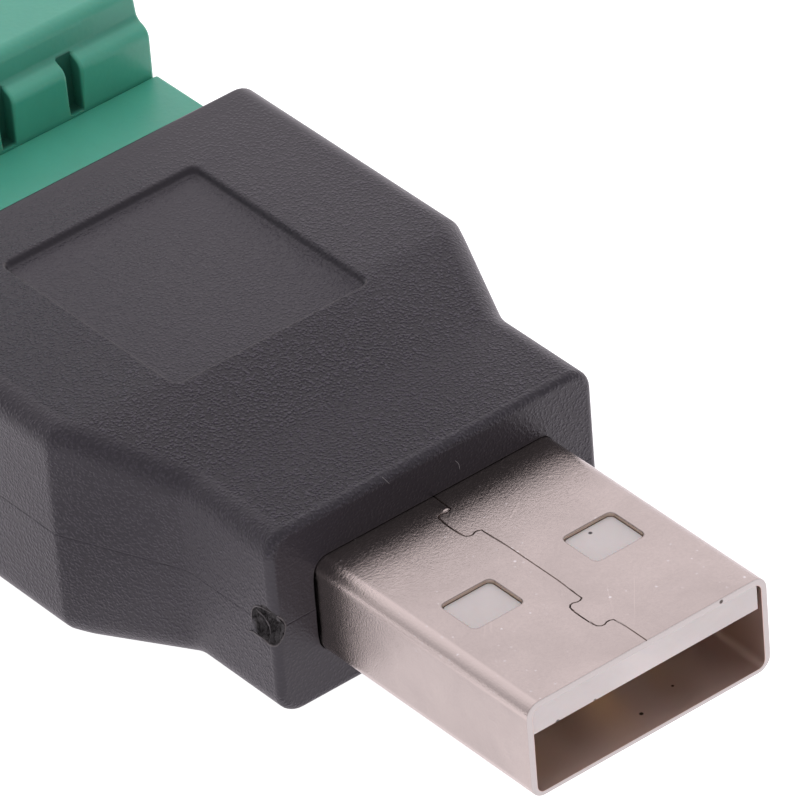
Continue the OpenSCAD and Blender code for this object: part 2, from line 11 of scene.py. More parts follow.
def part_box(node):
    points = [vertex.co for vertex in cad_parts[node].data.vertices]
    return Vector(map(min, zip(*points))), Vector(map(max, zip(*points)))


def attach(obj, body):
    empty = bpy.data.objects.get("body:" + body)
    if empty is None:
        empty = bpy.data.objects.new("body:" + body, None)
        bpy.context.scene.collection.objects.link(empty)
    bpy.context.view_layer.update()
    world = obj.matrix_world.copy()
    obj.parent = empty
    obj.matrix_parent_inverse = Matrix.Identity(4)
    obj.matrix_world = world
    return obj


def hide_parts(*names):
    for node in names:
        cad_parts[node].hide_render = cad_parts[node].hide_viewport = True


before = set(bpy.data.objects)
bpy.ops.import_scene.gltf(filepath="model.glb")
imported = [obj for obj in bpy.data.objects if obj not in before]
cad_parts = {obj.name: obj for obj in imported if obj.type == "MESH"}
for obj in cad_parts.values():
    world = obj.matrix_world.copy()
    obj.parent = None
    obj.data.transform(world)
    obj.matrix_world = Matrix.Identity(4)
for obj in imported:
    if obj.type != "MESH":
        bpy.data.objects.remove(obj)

bl_info = {
    "name": "Terminal adapter looks",
    "version": (1, 0, 0),
    "blender": (4, 5, 0),
    "location": "3D View > Sidebar > Adapter",
    "description": "Surfaces, finishes and stage of a USB plug to screw terminal adapter",
    "category": "Object",
}

MM = 0.001
POLES = range(1, 6)
MERGE = 1e-4 * MM
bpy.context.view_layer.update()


def box(node):
    """Low and high corner of a CAD node's box, in millimetres."""
    return [np.array(corner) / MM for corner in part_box(node)]


SHELL_LOW, SHELL_HIGH = box("usb_shell")
BODY_LOW, BODY_HIGH = box("overmould")
HEADER_LOW, HEADER_HIGH = box("header_housing")
BOARD_LOW, BOARD_HIGH = box("carrier_board")
PIN_HIGH = box("header_pin_3")[1]
FRONT_Y = BODY_LOW[1]
MID_Z = (SHELL_LOW[2] + SHELL_HIGH[2]) / 2
# Sizes of the solids in millimetres: the shell's outer corners, the board's tab and the length of its wide part
SHELL_BEND = 0.65
BOARD_TAB_HALF = 5.5
BOARD_WIDE = 8.4
# Parts of a ring, points along a quarter circle and rows of a face's rounding
TOP, ARC, RIGHT, UNDER, LEFT = range(5)
CORNER_STEPS = 9
ROUND_ROWS = 9
# Linear colours of dirt, dark specks and dust
DIRT = (0.05, 0.035, 0.025)
DARK_SPECK = (0.02, 0.017, 0.015)
PALE_DUST = (0.5, 0.47, 0.46)


def length(name, description, millimetres):
    """Length property in metres whose default is given in millimetres."""
    return FloatProperty(name=name, description=description, default=millimetres * MM, min=0.0,
                         precision=5, subtype="DISTANCE", unit="LENGTH")


def tone(name, description, colour):
    """Linear colour property."""
    return FloatVectorProperty(name=name, description=description, default=colour, size=3,
                               min=0.0, max=1.0, subtype="COLOR")


def share(name, description, value, top=1.0):
    """Plain factor property."""
    return FloatProperty(name=name, description=description, default=value, min=0.0, max=top, subtype="FACTOR")


def turn(name, description, degrees):
    """Angle property whose default is given in degrees."""
    return FloatProperty(name=name, description=description, default=math.radians(degrees),
                         subtype="ANGLE", unit="ROTATION")


def point(name, description, place):
    """Place property in metres."""
    return FloatVectorProperty(name=name, description=description, default=place, size=3,
                               subtype="TRANSLATION", unit="LENGTH")


class ADAPTER_PG_shell(bpy.types.PropertyGroup):
    """Sizes and colours of the folded plug shell."""
    bend: length("Bend radius", "Outer radius of the shell's long corners", SHELL_BEND)
    sheet: length("Sheet", "Thickness of the folded sheet", 0.3)
    rim_round: length("Rim rounding", "Radius on the outer edge of the shell's mouth", 0.05)
    lip_round: length("Lip rounding", "Radius on the inner edge of the shell's mouth", 0.015)
    window_width: length("Window width", "Width of each latch window", 2.5)
    window_length: length("Window length", "Length of each latch window", 2.1)
    window_round: length("Window corner", "Corner radius of each latch window", 0.28)
    window_offset: length("Window offset", "Distance of a window from the centre line", 3.04)
    window_setback: length("Window setback", "Distance from the tip to the windows", 5.1)
    seam_width: length("Seam width", "Half width of the butt seam's groove", 0.022)
    seam_depth: length("Seam depth", "Depth of the butt seam's groove", 0.1)
    tab_length: length("Tab length", "Length of each locking tab", 1.95)
    tab_width: length("Tab width", "Depth of each locking tab across the seam", 0.84)
    tab_bevel: length("Tab bevel", "Bevel on a locking tab's corners", 0.24)
    tab_neck: length("Tab neck", "Pinch at a locking tab's neck", 0.14)
    tab_neck_out: length("Tab neck place", "Distance of the neck from the seam's line", 0.27)
    tab_rear: length("Rear tab", "Distance from the body to the rear tab", 1.05)
    tab_front: length("Front tab", "Distance from the tip to the front tab", 1.85)
    nickel: tone("Nickel", "Colour of the satin nickel plating", (0.447, 0.397, 0.366))
    stain: tone("Stain", "Colour of pits and dirt on the plating", (0.20, 0.165, 0.15))
    cut_edge: tone("Cut edge", "Colour of the sheet's bare cut edge", (0.56, 0.53, 0.50))
    wall: tone("Window wall", "Colour of the windows' cut walls", (0.58, 0.48, 0.40))
    flare: length("Flare", "Thinning of the lower lip towards the mouth", 0.1)
    # The inside's lighter, warmer colour is painted light in the dim cavity, on top of the dull plating.
    inside: tone("Inside", "Colour of the dull plating inside the shell", (0.60, 0.475, 0.42))
    fleck: tone("Fleck", "Colour of the pale flecks in worn patches", (0.86, 0.84, 0.83))
    # Colour of the dirt in the butt seam, which is also painted shade in its groove and a painted shade line round
    # each window's outline.
    dirt_and_painted_shade: tone("Grime", "Colour of the dirt in the butt seam", (0.07, 0.05, 0.045))


class ADAPTER_PG_moulding(bpy.types.PropertyGroup):
    """Sizes and colours of the moulded body and the insulator."""
    narrow_width: length("Narrow width", "Width of the front block", 16.3)
    narrow_height: length("Narrow height", "Height of the front block", 8.8)
    narrow_length: length("Narrow length", "Length of the front block", 5.4)
    taper_length: length("Taper length", "Length of the taper behind the front block", 5.5)
    edge_round: length("Edge radius", "Radius along the long edges", 1.1)
    front_round: length("Front radius", "Radius round the front face", 0.35)
    rear_round: length("Rear radius", "Radius round the rear face", 0.25)
    neck_round: length("Neck radius", "Radius in plan where the taper starts", 2.0)
    shoulder_round: length("Shoulder radius", "Radius in plan where the taper ends", 0.5)
    slope_foot: length("Slope foot", "Distance from the front face to the top slope's foot", 5.2)
    slope_head: length("Slope head", "Distance from the front face to the top slope's head", 10.2)
    slope_round: length("Slope radius", "Radius that blends the slope into the top faces", 5.0)
    gap: length("Gap", "Clearance round the pieces that the body holds", 0.06)
    recess_width: length("Recess width", "Width of the shallow recess", 9.7)
    recess_length: length("Recess length", "Length of the shallow recess", 11.1)
    recess_rear: length("Recess place", "Distance from the rear face to the recess", 3.2)
    recess_edge: length("Recess edge", "Softness of the shallow recess's edge", 0.09)
    recess_depth: length("Recess depth", "Depth of the shallow recess", 0.3)
    recess_round: length("Recess corner", "Corner radius of the shallow recess", 0.35)
    parting_depth: length("Parting depth", "Depth of the mould's parting line", 0.018)
    side_gap: length("Side gap", "Extra gap beside the shell's left side at the front face", 0.07)
    recess_lift: length("Recess lift", "Height of the raised edge at the recess's front and left", 0.022)
    gate_radius: length("Gate radius", "Radius of the torn gate scar", 1.16)
    gate_out: length("Gate out", "Distance of the scar's centre outside the side face", 0.62)
    gate_back: length("Gate back", "Distance of the scar's centre behind the front face", 0.45)
    black: tone("Black", "Colour of the moulded body", (0.0108, 0.0090, 0.0148))
    torn: tone("Torn", "Colour of the torn plastic round the gate", (0.075, 0.069, 0.069))
    fibre: tone("Fibre", "Colour of the dust fibres on the front face", (0.30, 0.29, 0.29))
    grain_size: length("Grain size", "Size of the leather grain on the moulded body", 0.137)
    white: tone("White", "Colour of the insulator", (0.60, 0.572, 0.540))
    tongue_left: length("Tongue left", "Distance by which the tongue's left side stands out", 0.25)
    tongue_right: length("Tongue right", "Distance by which the tongue's right side stands out", 0.1)


class ADAPTER_PG_terminal(bpy.types.PropertyGroup):
    """Sizes and colours of the terminal, its contacts and its clamps."""
    green: tone("Green", "Colour of the terminal's plastic", (0.073, 0.405, 0.277))
    edge_round: length("Edge rounding", "Rounding on the terminal's moulded edges", 0.14)
    pitch: length("Pitch", "Distance between poles", 3.5)
    slot_width: length("Slot width", "Width of the slots between the plug's front ribs", 0.72)
    # The hollow's height is where the painted shade behind the front ribs starts.
    hollow: length("Hollow", "Height of the hollow behind the front ribs above the header's top", 2.5)
    metal_round: length("Metal rounding", "Rounding on stamped and turned metal edges", 0.03)
    brass: tone("Plated brass", "Colour of the clamp cages and contacts", (0.62, 0.56, 0.44))
    zinc: tone("Zinc", "Colour of the clamp screws", (0.60, 0.61, 0.60))
    tin: tone("Tin", "Colour of the header pins", (0.68, 0.66, 0.62))
    gold: tone("Gold", "Colour of the plug's contacts", (0.78, 0.56, 0.24))
    laminate: tone("Laminate", "Colour of the carrier board", (0.02, 0.10, 0.045))


class ADAPTER_PG_stage(bpy.types.PropertyGroup):
    """Camera, floor and light."""
    azimuth: turn("Azimuth", "Camera's turn round the adapter", -36.473)
    elevation: turn("Elevation", "Camera's height above the horizon", 36.133)
    roll: turn("Roll", "Camera's roll about its own axis", -4.722)
    distance: length("Distance", "Distance of the camera from its target", 400.0)
    target: point("Target", "Point in the middle of the picture", (0.00487, -0.00464, 0.0051))
    sensor: length("Sensor", "Width of the camera's sensor", 36.0)
    lens: length("Lens", "Focal length of the camera's lens", 453.8)
    floor_tone: tone("Floor", "Colour of the pale floor", (0.45, 0.45, 0.45))
    floor_white: share("Floor white", "Light of the lit floor as the camera sees it", 1.0, 4.0)
    floor_light: share("Floor light", "Light that the lit floor throws on the adapter", 1.0, 4.0)
    shade: share("Shade", "Part of the floor's light that is left in its shaded patch", 0.05)
    shade_place: point("Shade place", "Middle of the floor's shaded patch", (-0.0205, -0.0025, 0.0))
    shade_reach: length("Shade reach", "Distance over which the shaded patch fades out", 10.0)
    sky: share("Sky", "Strength of the tent where its lamp stands", 1.31, 4.0)
    sky_rest: share("Rest of the sky", "Strength of the tent away from its lamp", 0.61, 4.0)
    lamp: FloatVectorProperty(name="Lamp", description="Direction of the tent's lamp", default=(0.48, 0.65, 0.59),
                              size=3, subtype="DIRECTION")
    sky_tint: tone("Sky tint", "Colour of the tent's light", (1.0, 0.93, 0.99))


class ADAPTER_PG_looks(bpy.types.PropertyGroup):
    """All settings of the adapter's looks."""
    shell: PointerProperty(type=ADAPTER_PG_shell)
    moulding: PointerProperty(type=ADAPTER_PG_moulding)
    terminal: PointerProperty(type=ADAPTER_PG_terminal)
    stage: PointerProperty(type=ADAPTER_PG_stage)


def lines(*stretches):
    """Ascending line places: each stretch (start, stop, step) is divided evenly and shared ends are merged."""
    parts = [np.linspace(a, b, max(2, int(round((b - a) / step)) + 1)) for a, b, step in stretches]
    return np.unique(np.round(np.concatenate(parts), 4))


def smooth(t):
    """Rises from 0 to 1 as t goes from 0 to 1, level at both ends."""
    t = np.clip(t, 0.0, 1.0)
    return t * t * (3.0 - 2.0 * t)


def stretched(places, keep, end):
    """Places within keep of the middle stay, and those outside are stretched so that the last one lands on end."""
    last = np.abs(places).max()
    outside = np.sign(places) * (keep + (np.abs(places) - keep) * (end - keep) / (last - keep))
    return np.where(end <= keep, places * end / last, np.where(np.abs(places) <= keep, places, outside))


def grid_quads(rows, columns, close_rows=False, close_columns=False):
    """Corner numbers of each cell of a grid of points, wrapped round in a closed direction."""
    i = np.arange(rows if close_rows else rows - 1)[:, None]
    j = np.arange(columns if close_columns else columns - 1)[None, :]
    below, beside = (i + 1) % rows, (j + 1) % columns
    corners = [i * columns + j, i * columns + beside, below * columns + beside, below * columns + j]
    return np.stack(corners, axis=-1)


def rounded_rings(sections, top, low, side, keep_x, keep_z, steps):
    """Rounded rectangles across Y, one for each section (y, half width, half height, corner radius, middle z).

    Each ring runs along the top lines, round a corner arc, down the side lines and so on back to its start.
    A point is the corner's centre plus the radius times the direction of the arc, or a line's place on a flat.
    """
    y, w, h, r, middle = (column[:, None] for column in np.asarray(sections, float).T)
    a, b = w - r, h - r
    arc = np.linspace(0.0, np.pi / 2, steps + 1)[None, 1:-1]
    sin, cos = r * np.sin(arc), r * np.cos(arc)
    x_top, x_low, z_side = stretched(top, keep_x, a), stretched(low, keep_x, a), stretched(side, keep_z, b)
    flat_top, flat_low, flat_side = 0 * x_top, 0 * x_low, 0 * z_side
    x = np.hstack([x_top, a + sin, w + flat_side, a + cos,
                   x_low[:, ::-1], -a - sin, -w + flat_side, -a - cos])
    z = np.hstack([h + flat_top, b + cos, z_side[:, ::-1], -b - sin,
                   -h + flat_low, -b - cos, z_side, b + sin])
    return np.stack([x, y + 0 * x, z + middle], axis=-1)


def ring_parts(top, low, side, steps):
    """Part of the ring that each of its points lies on, in the order of rounded_rings."""
    arc = steps - 1
    return np.repeat([TOP, ARC, RIGHT, ARC, UNDER, ARC, LEFT, ARC],
                     [len(top), arc, len(side), arc, len(low), arc, len(side), arc])[None]


def rounded_path(corners, arc_steps=10):
    """Open path through corners (x, y, r), each an arc of radius r between its two straight stretches."""
    points = np.array([corner[:2] for corner in corners], float)
    path = [points[:1]]
    for before, here, after, corner in zip(points, points[1:], points[2:], corners[1:]):
        u, v = before - here, after - here
        u, v = u / np.linalg.norm(u), v / np.linalg.norm(v)
        half = math.acos(np.clip(u @ v, -1.0, 1.0)) / 2
        centre = here + (u + v) / np.linalg.norm(u + v) * corner[2] / math.sin(half)
        start = here + u * corner[2] / math.tan(half) - centre
        finish = here + v * corner[2] / math.tan(half) - centre
        turn = np.linspace(0.0, 1.0, arc_steps + 1)[:, None]
        blend = start * (1 - turn) + finish * turn
        path.append(centre + corner[2] * blend / np.linalg.norm(blend, axis=1, keepdims=True))
    path.append(points[-1:])
    return np.concatenate(path)


def rounded_box_distance(x, y, half_x, half_y, r):
    """Signed distance from a rectangle with round corners, negative inside."""
    dx, dy = np.abs(x) - half_x + r, np.abs(y) - half_y + r
    return np.hypot(np.maximum(dx, 0), np.maximum(dy, 0)) + np.minimum(np.maximum(dx, dy), 0) - r


def path_distance(x, y, path):
    """Distance of every point from a path of straight stretches: the least over its stretches."""
    best = np.full(np.shape(x), np.inf)
    for a, b in zip(path[:-1], path[1:]):
        run = b - a
        t = np.clip(((x - a[0]) * run[0] + (y - a[1]) * run[1]) / max(run @ run, 1e-12), 0.0, 1.0)
        best = np.minimum(best, np.hypot(x - a[0] - t * run[0], y - a[1] - t * run[1]))
    return best


def cut_corners(path, times):
    """Path with each corner cut back by a quarter of both stretches, as often as asked."""
    for _ in range(times):
        inner = np.stack([0.75 * path[:-1] + 0.25 * path[1:], 0.25 * path[:-1] + 0.75 * path[1:]], axis=1)
        path = np.concatenate([path[:1], inner.reshape(-1, path.shape[1]), path[-1:]])
    return path


def tube(path, radii, around=10):
    """Closed tube: circles of the given radii, square to the path, that close to a point at each end."""
    along = np.gradient(path, axis=0)
    along /= np.linalg.norm(along, axis=1, keepdims=True)
    side = np.cross(along, np.array([0.31, 0.17, 0.93]))
    side /= np.linalg.norm(side, axis=1, keepdims=True)
    other = np.cross(along, side)
    turn = np.linspace(0.0, 2 * np.pi, around, endpoint=False)[None, :, None]
    ring = np.cos(turn) * side[:, None] + np.sin(turn) * other[:, None]
    radii = radii[:, None, None]
    points = np.concatenate([path[:1, None] + 0 * ring[:1], path[:, None] + radii * ring,
                             path[-1:, None] + 0 * ring[:1]])
    return points.reshape(-1, 3), grid_quads(len(points), around, close_columns=True).reshape(-1, 4)


def joined(grids):
    """Points and quads of several grids as one."""
    starts = np.cumsum([0] + [len(points) for points, _ in grids])
    return (np.concatenate([points for points, _ in grids]),
            np.concatenate([quads + start for (_, quads), start in zip(grids, starts)]))


def seat(name, mesh, finish, body, nodes=()):
    """Makes a mesh with its finish a piece that rides on a body and stands for CAD nodes."""
    mesh.materials.clear()
    mesh.materials.append(finish)
    piece = bpy.data.objects.new(name, mesh)
    bpy.context.scene.collection.objects.link(piece)
    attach(piece, body)
    if nodes:
        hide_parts(*nodes)
    return piece


def add_piece(name, points, quads, finish, body, slot, nodes=(), sharp=38.0, values=None):
    """Puts points in millimetres, their quads and the values painted on them into a new piece."""
    mesh = bpy.data.meshes.new(name)
    mesh.from_pydata(points * MM, [], quads)
    for key, numbers in (values or {}).items():
        layer = mesh.attributes.new(key, "FLOAT", "POINT")
        layer.data.foreach_set("value", np.asarray(numbers, np.float32).ravel())
    work = bmesh.new()
    work.from_mesh(mesh)
    bmesh.ops.remove_doubles(work, verts=work.verts, dist=MERGE)
    bmesh.ops.recalc_face_normals(work, faces=work.faces)
    work.to_mesh(mesh)
    work.free()
    mesh.shade_smooth()
    mesh.set_sharp_from_angle(angle=math.radians(sharp))
    return seat(name, mesh, finish, body, nodes)


def dress_node(node, finish, rounding):
    """Gives a CAD node its finish, joins its triangles into flat faces and rounds its edges."""
    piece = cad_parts[node]
    piece.data.materials.clear()
    piece.data.materials.append(finish)
    weld = piece.modifiers.new("Join", "WELD")
    weld.merge_threshold = MERGE
    faces = piece.modifiers.new("Flat faces", "DECIMATE")
    faces.decimate_type = "DISSOLVE"
    faces.angle_limit = math.radians(1.0)
    edges = piece.modifiers.new("Edges", "BEVEL")
    edges.width = rounding
    edges.segments = 3
    edges.limit_method = "ANGLE"
    edges.angle_limit = math.radians(40.0)
    edges.harden_normals = True
    edges.use_clamp_overlap = True
    return piece


def gathered(items, key, width, kind=np.float32):
    """One property of all of a mesh's items as an array with a row for each item."""
    found = np.zeros(len(items) * width, kind)
    items.foreach_get(key, found)
    return found.reshape(-1, width)


def softened_copy(name, node, finish, body, rounding, chosen):
    """Copy of a CAD node's mesh, merged and with its flat faces joined, whose chosen outward edges are rounded.

    Faces to the rear are split into convex ones, because they go round the wire entries. An edge points outward
    when the cross product of its two faces' normals runs along it in the first face's direction. The choice gets
    the middles of all edges, in millimetres, and their directions as two arrays.
    """
    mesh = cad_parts[node].data.copy()
    mesh.name = name
    work = bmesh.new()
    work.from_mesh(mesh)
    bmesh.ops.remove_doubles(work, verts=work.verts, dist=MERGE)
    bmesh.ops.dissolve_limit(work, angle_limit=math.radians(1.0), verts=work.verts, edges=work.edges)
    bmesh.ops.connect_verts_concave(work, faces=[face for face in work.faces if face.normal.y > 0.9])
    work.to_mesh(mesh)
    work.free()
    if "custom_normal" in mesh.attributes:
        mesh.attributes.remove(mesh.attributes["custom_normal"])
    spots, ends = gathered(mesh.vertices, "co", 3) / MM, gathered(mesh.edges, "vertices", 2, np.int32)
    loop_edge = gathered(mesh.loops, "edge_index", 1, np.int32)[:, 0]
    loop_vertex = gathered(mesh.loops, "vertex_index", 1, np.int32)[:, 0]
    sides = gathered(mesh.polygons, "loop_total", 1, np.int32)[:, 0]
    normals = np.repeat(gathered(mesh.polygons, "normal", 3), sides, axis=0)
    pair = np.argsort(loop_edge, kind="stable").reshape(-1, 2)
    first, second = normals[pair[:, 0]], normals[pair[:, 1]]
    along = spots[ends[:, 1]] - spots[ends[:, 0]]
    along[loop_vertex[pair[:, 0]] != ends[:, 0]] *= -1
    outward = np.einsum("ij,ij->i", np.cross(first, second), along) > 0
    wide = np.einsum("ij,ij->i", first, second) < math.cos(math.radians(40.0))
    ways = along / np.linalg.norm(along, axis=1, keepdims=True)
    weight = (outward & wide & chosen(spots[ends].mean(axis=1), ways)).astype(np.float32)
    mesh.attributes.new("bevel_weight_edge", "FLOAT", "EDGE").data.foreach_set("value", weight)
    mesh.shade_smooth()
    mesh.set_sharp_from_angle(angle=math.radians(35.0))
    piece = seat(name, mesh, finish, body, [node])
    edges = piece.modifiers.new("Edges", "BEVEL")
    edges.width = rounding
    edges.segments = 4
    edges.limit_method = "WEIGHT"
    edges.use_clamp_overlap = False
    normal = piece.modifiers.new("Normals", "WEIGHTED_NORMAL")
    normal.keep_sharp = True
    return piece


def feed(tree, node, inputs):
    """Links each input of a node to the socket given for it, or sets its value."""
    for key, value in inputs.items():
        if isinstance(value, bpy.types.NodeSocket):
            tree.links.new(value, node.inputs[key])
        else:
            node.inputs[key].default_value = value


def put(tree, kind, x, y, inputs=None, **settings):
    """Adds a shader node at a place, with sockets or values for its inputs and its own settings."""
    made = tree.nodes.new("ShaderNode" + kind)
    made.location = (x, y)
    for key, value in settings.items():
        setattr(made, key, value)
    feed(tree, made, inputs or {})
    return made


def once(name):
    """Node group of a name, built by the function below where the file doesn't hold it yet."""
    return lambda build: lambda: bpy.data.node_groups.get(name) or build(name)


def new_group(name, inputs, outputs):
    """Empty node group with float or vector inputs and float outputs, its input sockets and its output node."""
    group = bpy.data.node_groups.new(name, "ShaderNodeTree")
    for key, value in inputs.items():
        kind = "NodeSocketVector" if value is None else "NodeSocketFloat"
        socket = group.interface.new_socket(name=key, in_out="INPUT", socket_type=kind)
        if value is not None:
            socket.default_value = value
    for key in outputs:
        group.interface.new_socket(name=key, in_out="OUTPUT", socket_type="NodeSocketFloat")
    start = group.nodes.new("NodeGroupInput")
    start.location = (-900, 0)
    end = group.nodes.new("NodeGroupOutput")
    end.location = (700, 0)
    return group, start.outputs, end


@once("Moulded grain")
def grain_group(name):
    """Leather grain: warped round cells, half mixed with fine noise. Height runs from 0 in the valleys to 1."""
    group, given, end = new_group(name, {"Vector": None, "Cells per metre": 3000.0}, ["Height"])
    place, rate = given["Vector"], given["Cells per metre"]
    slower, faster = times(group, -900, 260, rate, 0.6), times(group, -320, -40, rate, 1.9)
    bend = put(group, "TexNoise", -700, 220, {"Vector": place, "Scale": slower, "Detail": 2.0})
    shift = put(group, "VectorMath", -500, 220, {0: bend.outputs["Color"], "Scale": 0.00014}, operation="SCALE")
    warped = put(group, "VectorMath", -320, 220, {0: shift.outputs[0], 1: place}, operation="ADD").outputs[0]
    cells = put(group, "TexVoronoi", -120, 260, {"Vector": warped, "Scale": rate, "Smoothness": 0.55,
                                                 "Randomness": 1.0}, feature="SMOOTH_F1")
    fine = put(group, "TexNoise", -120, -40, {"Vector": place, "Scale": faster, "Detail": 3.0, "Roughness": 0.6})
    crown = ranged(group, 100, 260, cells.outputs["Distance"], 1.0, 0.0, 0.12, 0.62, "SMOOTHSTEP")
    mixed = put(group, "Mix", 340, 160, {"Factor": 0.5, "A": crown, "B": fine.outputs["Fac"]}, data_type="FLOAT")
    feed(group, end, {"Height": mixed.outputs[0]})
    return group


@once("Mottle")
def mottle_group(name):
    """Cloudy patches: slow noise of several octaves spread over 0 to 1, with a finer copy for speckle."""
    rates = {"Vector": None, "Patches per metre": 400.0, "Specks per metre": 6000.0}
    group, given, end = new_group(name, rates, ["Patches", "Specks"])
    slow = put(group, "TexNoise", -500, 160, {"Vector": given["Vector"], "Scale": given["Patches per metre"],
                                              "Detail": 5.0, "Roughness": 0.62, "Distortion": 0.4})
    fast = put(group, "TexNoise", -500, -120, {"Vector": given["Vector"], "Scale": given["Specks per metre"],
                                               "Detail": 3.0, "Roughness": 0.7})
    feed(group, end, {"Patches": ranged(group, -200, 160, slow.outputs["Fac"], 0.0, 1.0, 0.32, 0.68),
                      "Specks": ranged(group, -200, -120, fast.outputs["Fac"], 0.0, 1.0, 0.35, 0.65)})
    return group


@once("Dust")
def dust_group(name):
    """Sparse specks: cells whose random number passes a limit show a small dot round their point."""
    rates = {"Vector": None, "Cells per metre": 900.0, "Size": 0.06, "Share": 0.2}
    group, given, end = new_group(name, rates, ["Mask"])
    cells = put(group, "TexVoronoi", -560, 100, {"Vector": given["Vector"], "Scale": given["Cells per metre"],
                                                 "Randomness": 1.0})
    split = put(group, "SeparateColor", -320, -40, {0: cells.outputs["Color"]}).outputs
    chosen = put(group, "Math", -120, -40, {0: split[0], 1: given["Share"]}, operation="LESS_THAN").outputs[0]
    size = times(group, -120, -200, split[1], given["Size"])
    near = ranged(group, 140, 120, cells.outputs["Distance"], 1.0, 0.0, 0.0, size, "SMOOTHSTEP")
    feed(group, end, {"Mask": times(group, 420, 40, near, chosen)})
    return group


@once("Scratches")
def scratch_group(name):
    """Fine scratches: the thin zero line of noise that is drawn out along one direction, kept only in patches."""
    rates = {"Vector": None, "Lines per metre": 300.0, "Width": 0.02, "Turn": 0.6}
    group, given, end = new_group(name, rates, ["Mask"])
    place = given["Vector"]
    turned = put(group, "VectorRotate", -720, 160, {"Vector": place, "Angle": given["Turn"]}, rotation_type="Z_AXIS")
    drawn = put(group, "VectorMath", -540, 160, {0: turned.outputs[0], 1: (1.0, 0.09, 1.0)}, operation="MULTIPLY")
    wave = put(group, "TexNoise", -340, 160, {"Vector": drawn.outputs[0], "Scale": given["Lines per metre"],
                                              "Detail": 1.0})
    middle = put(group, "Math", -140, 160, {0: wave.outputs["Fac"], 1: 0.5}, operation="SUBTRACT")
    off = put(group, "Math", 20, 160, {0: middle.outputs[0]}, operation="ABSOLUTE").outputs[0]
    thin = ranged(group, 200, 160, off, 1.0, 0.0, 0.0, given["Width"])
    patch = put(group, "TexNoise", -340, -120, {"Vector": place, "Scale": 420.0, "Detail": 2.0})
    kept = ranged(group, 0, -120, patch.outputs["Fac"], 0.0, 1.0, 0.55, 0.7)
    feed(group, end, {"Mask": times(group, 460, 40, thin, kept)})
    return group


def new_finish(name, **constants):
    """Material with a Principled shader, its constant sockets set, and a node that gives Object coordinates."""
    finish = bpy.data.materials.new(name)
    finish.use_nodes = True
    tree = finish.node_tree
    shader = tree.nodes["Principled BSDF"]
    shader.location = (900, 0)
    tree.nodes["Material Output"].location = (1240, 0)
    for key, value in constants.items():
        shader.inputs[key.replace("_", " ").title()].default_value = value
    place = put(tree, "TexCoord", -1200, 0).outputs["Object"]
    return finish, tree, shader, place


def use_group(tree, group, x, y, place, **inputs):
    """Places a node group on Object coordinates with its own values, and gives its outputs."""
    values = {key.replace("_", " ").capitalize(): value for key, value in inputs.items()}
    made = put(tree, "Group", x, y, node_tree=group)
    feed(tree, made, {"Vector": place, **values})
    return made.outputs


def two_tones(tree, x, y, factor, low, high):
    """Colour that goes from low to high with a factor."""
    sockets = {0: factor, 6: (*low, 1.0), 7: (*high, 1.0)}
    return put(tree, "Mix", x, y, sockets, data_type="RGBA").outputs[2]


def over(tree, x, y, factor, under, colour):
    """Colour laid over another one where a mask is 1."""
    sockets = {0: factor, 6: under, 7: (*colour, 1.0)}
    return put(tree, "Mix", x, y, sockets, data_type="RGBA").outputs[2]


def painted(tree, x, y, key):
    """Value that a mesh attribute paints on its points."""
    return put(tree, "Attribute", x, y, attribute_name=key).outputs["Fac"]


def ranged(tree, x, y, value, low, high, start=0.0, stop=1.0, kind="LINEAR"):
    """Value spread from one range over a new one."""
    sockets = {"Value": value, "From Min": start, "From Max": stop, "To Min": low, "To Max": high}
    return put(tree, "MapRange", x, y, sockets, interpolation_type=kind).outputs[0]


def bump(tree, x, y, height, distance, under=None):
    """Bump of a given depth in metres, on top of another normal where one is given."""
    normal = {} if under is None else {"Normal": under}
    return put(tree, "Bump", x, y, {"Height": height, "Distance": distance, "Strength": 1.0, **normal}).outputs[0]


def times(tree, x, y, value, other):
    """Product of two values, each a socket or a number."""
    return put(tree, "Math", x, y, {0: value, 1: other}, operation="MULTIPLY").outputs[0]


def spot(tree, x, y, place, centre, radius):
    """Mask that is 1 in a small ball round a point in millimetres."""
    away = put(tree, "VectorMath", x, y, {0: place, 1: [MM * value for value in centre]}, operation="DISTANCE")
    return ranged(tree, x + 200, y, away.outputs["Value"], 1.0, 0.0, radius * MM * 0.6, radius * MM)


def dirtied(tree, place, last, specks, colour):
    """Colour with small dark specks on it, each a place in millimetres and a radius."""
    for i, (centre, radius) in enumerate(specks):
        mask = spot(tree, -400, 700 + 160 * i, place, centre, radius)
        last = over(tree, 200 + 160 * i, 700, mask, last, colour)
    return last


def scaled(colour, factor):
    """Colour made lighter or darker."""
    return tuple(min(channel * factor, 1.0) for channel in colour)


def clouded(tree, mottle, colour):
    """Colour that the patches of a mottle make a little lighter and darker."""
    return two_tones(tree, -600, 260, mottle["Patches"], scaled(colour, 0.93), scaled(colour, 1.07))


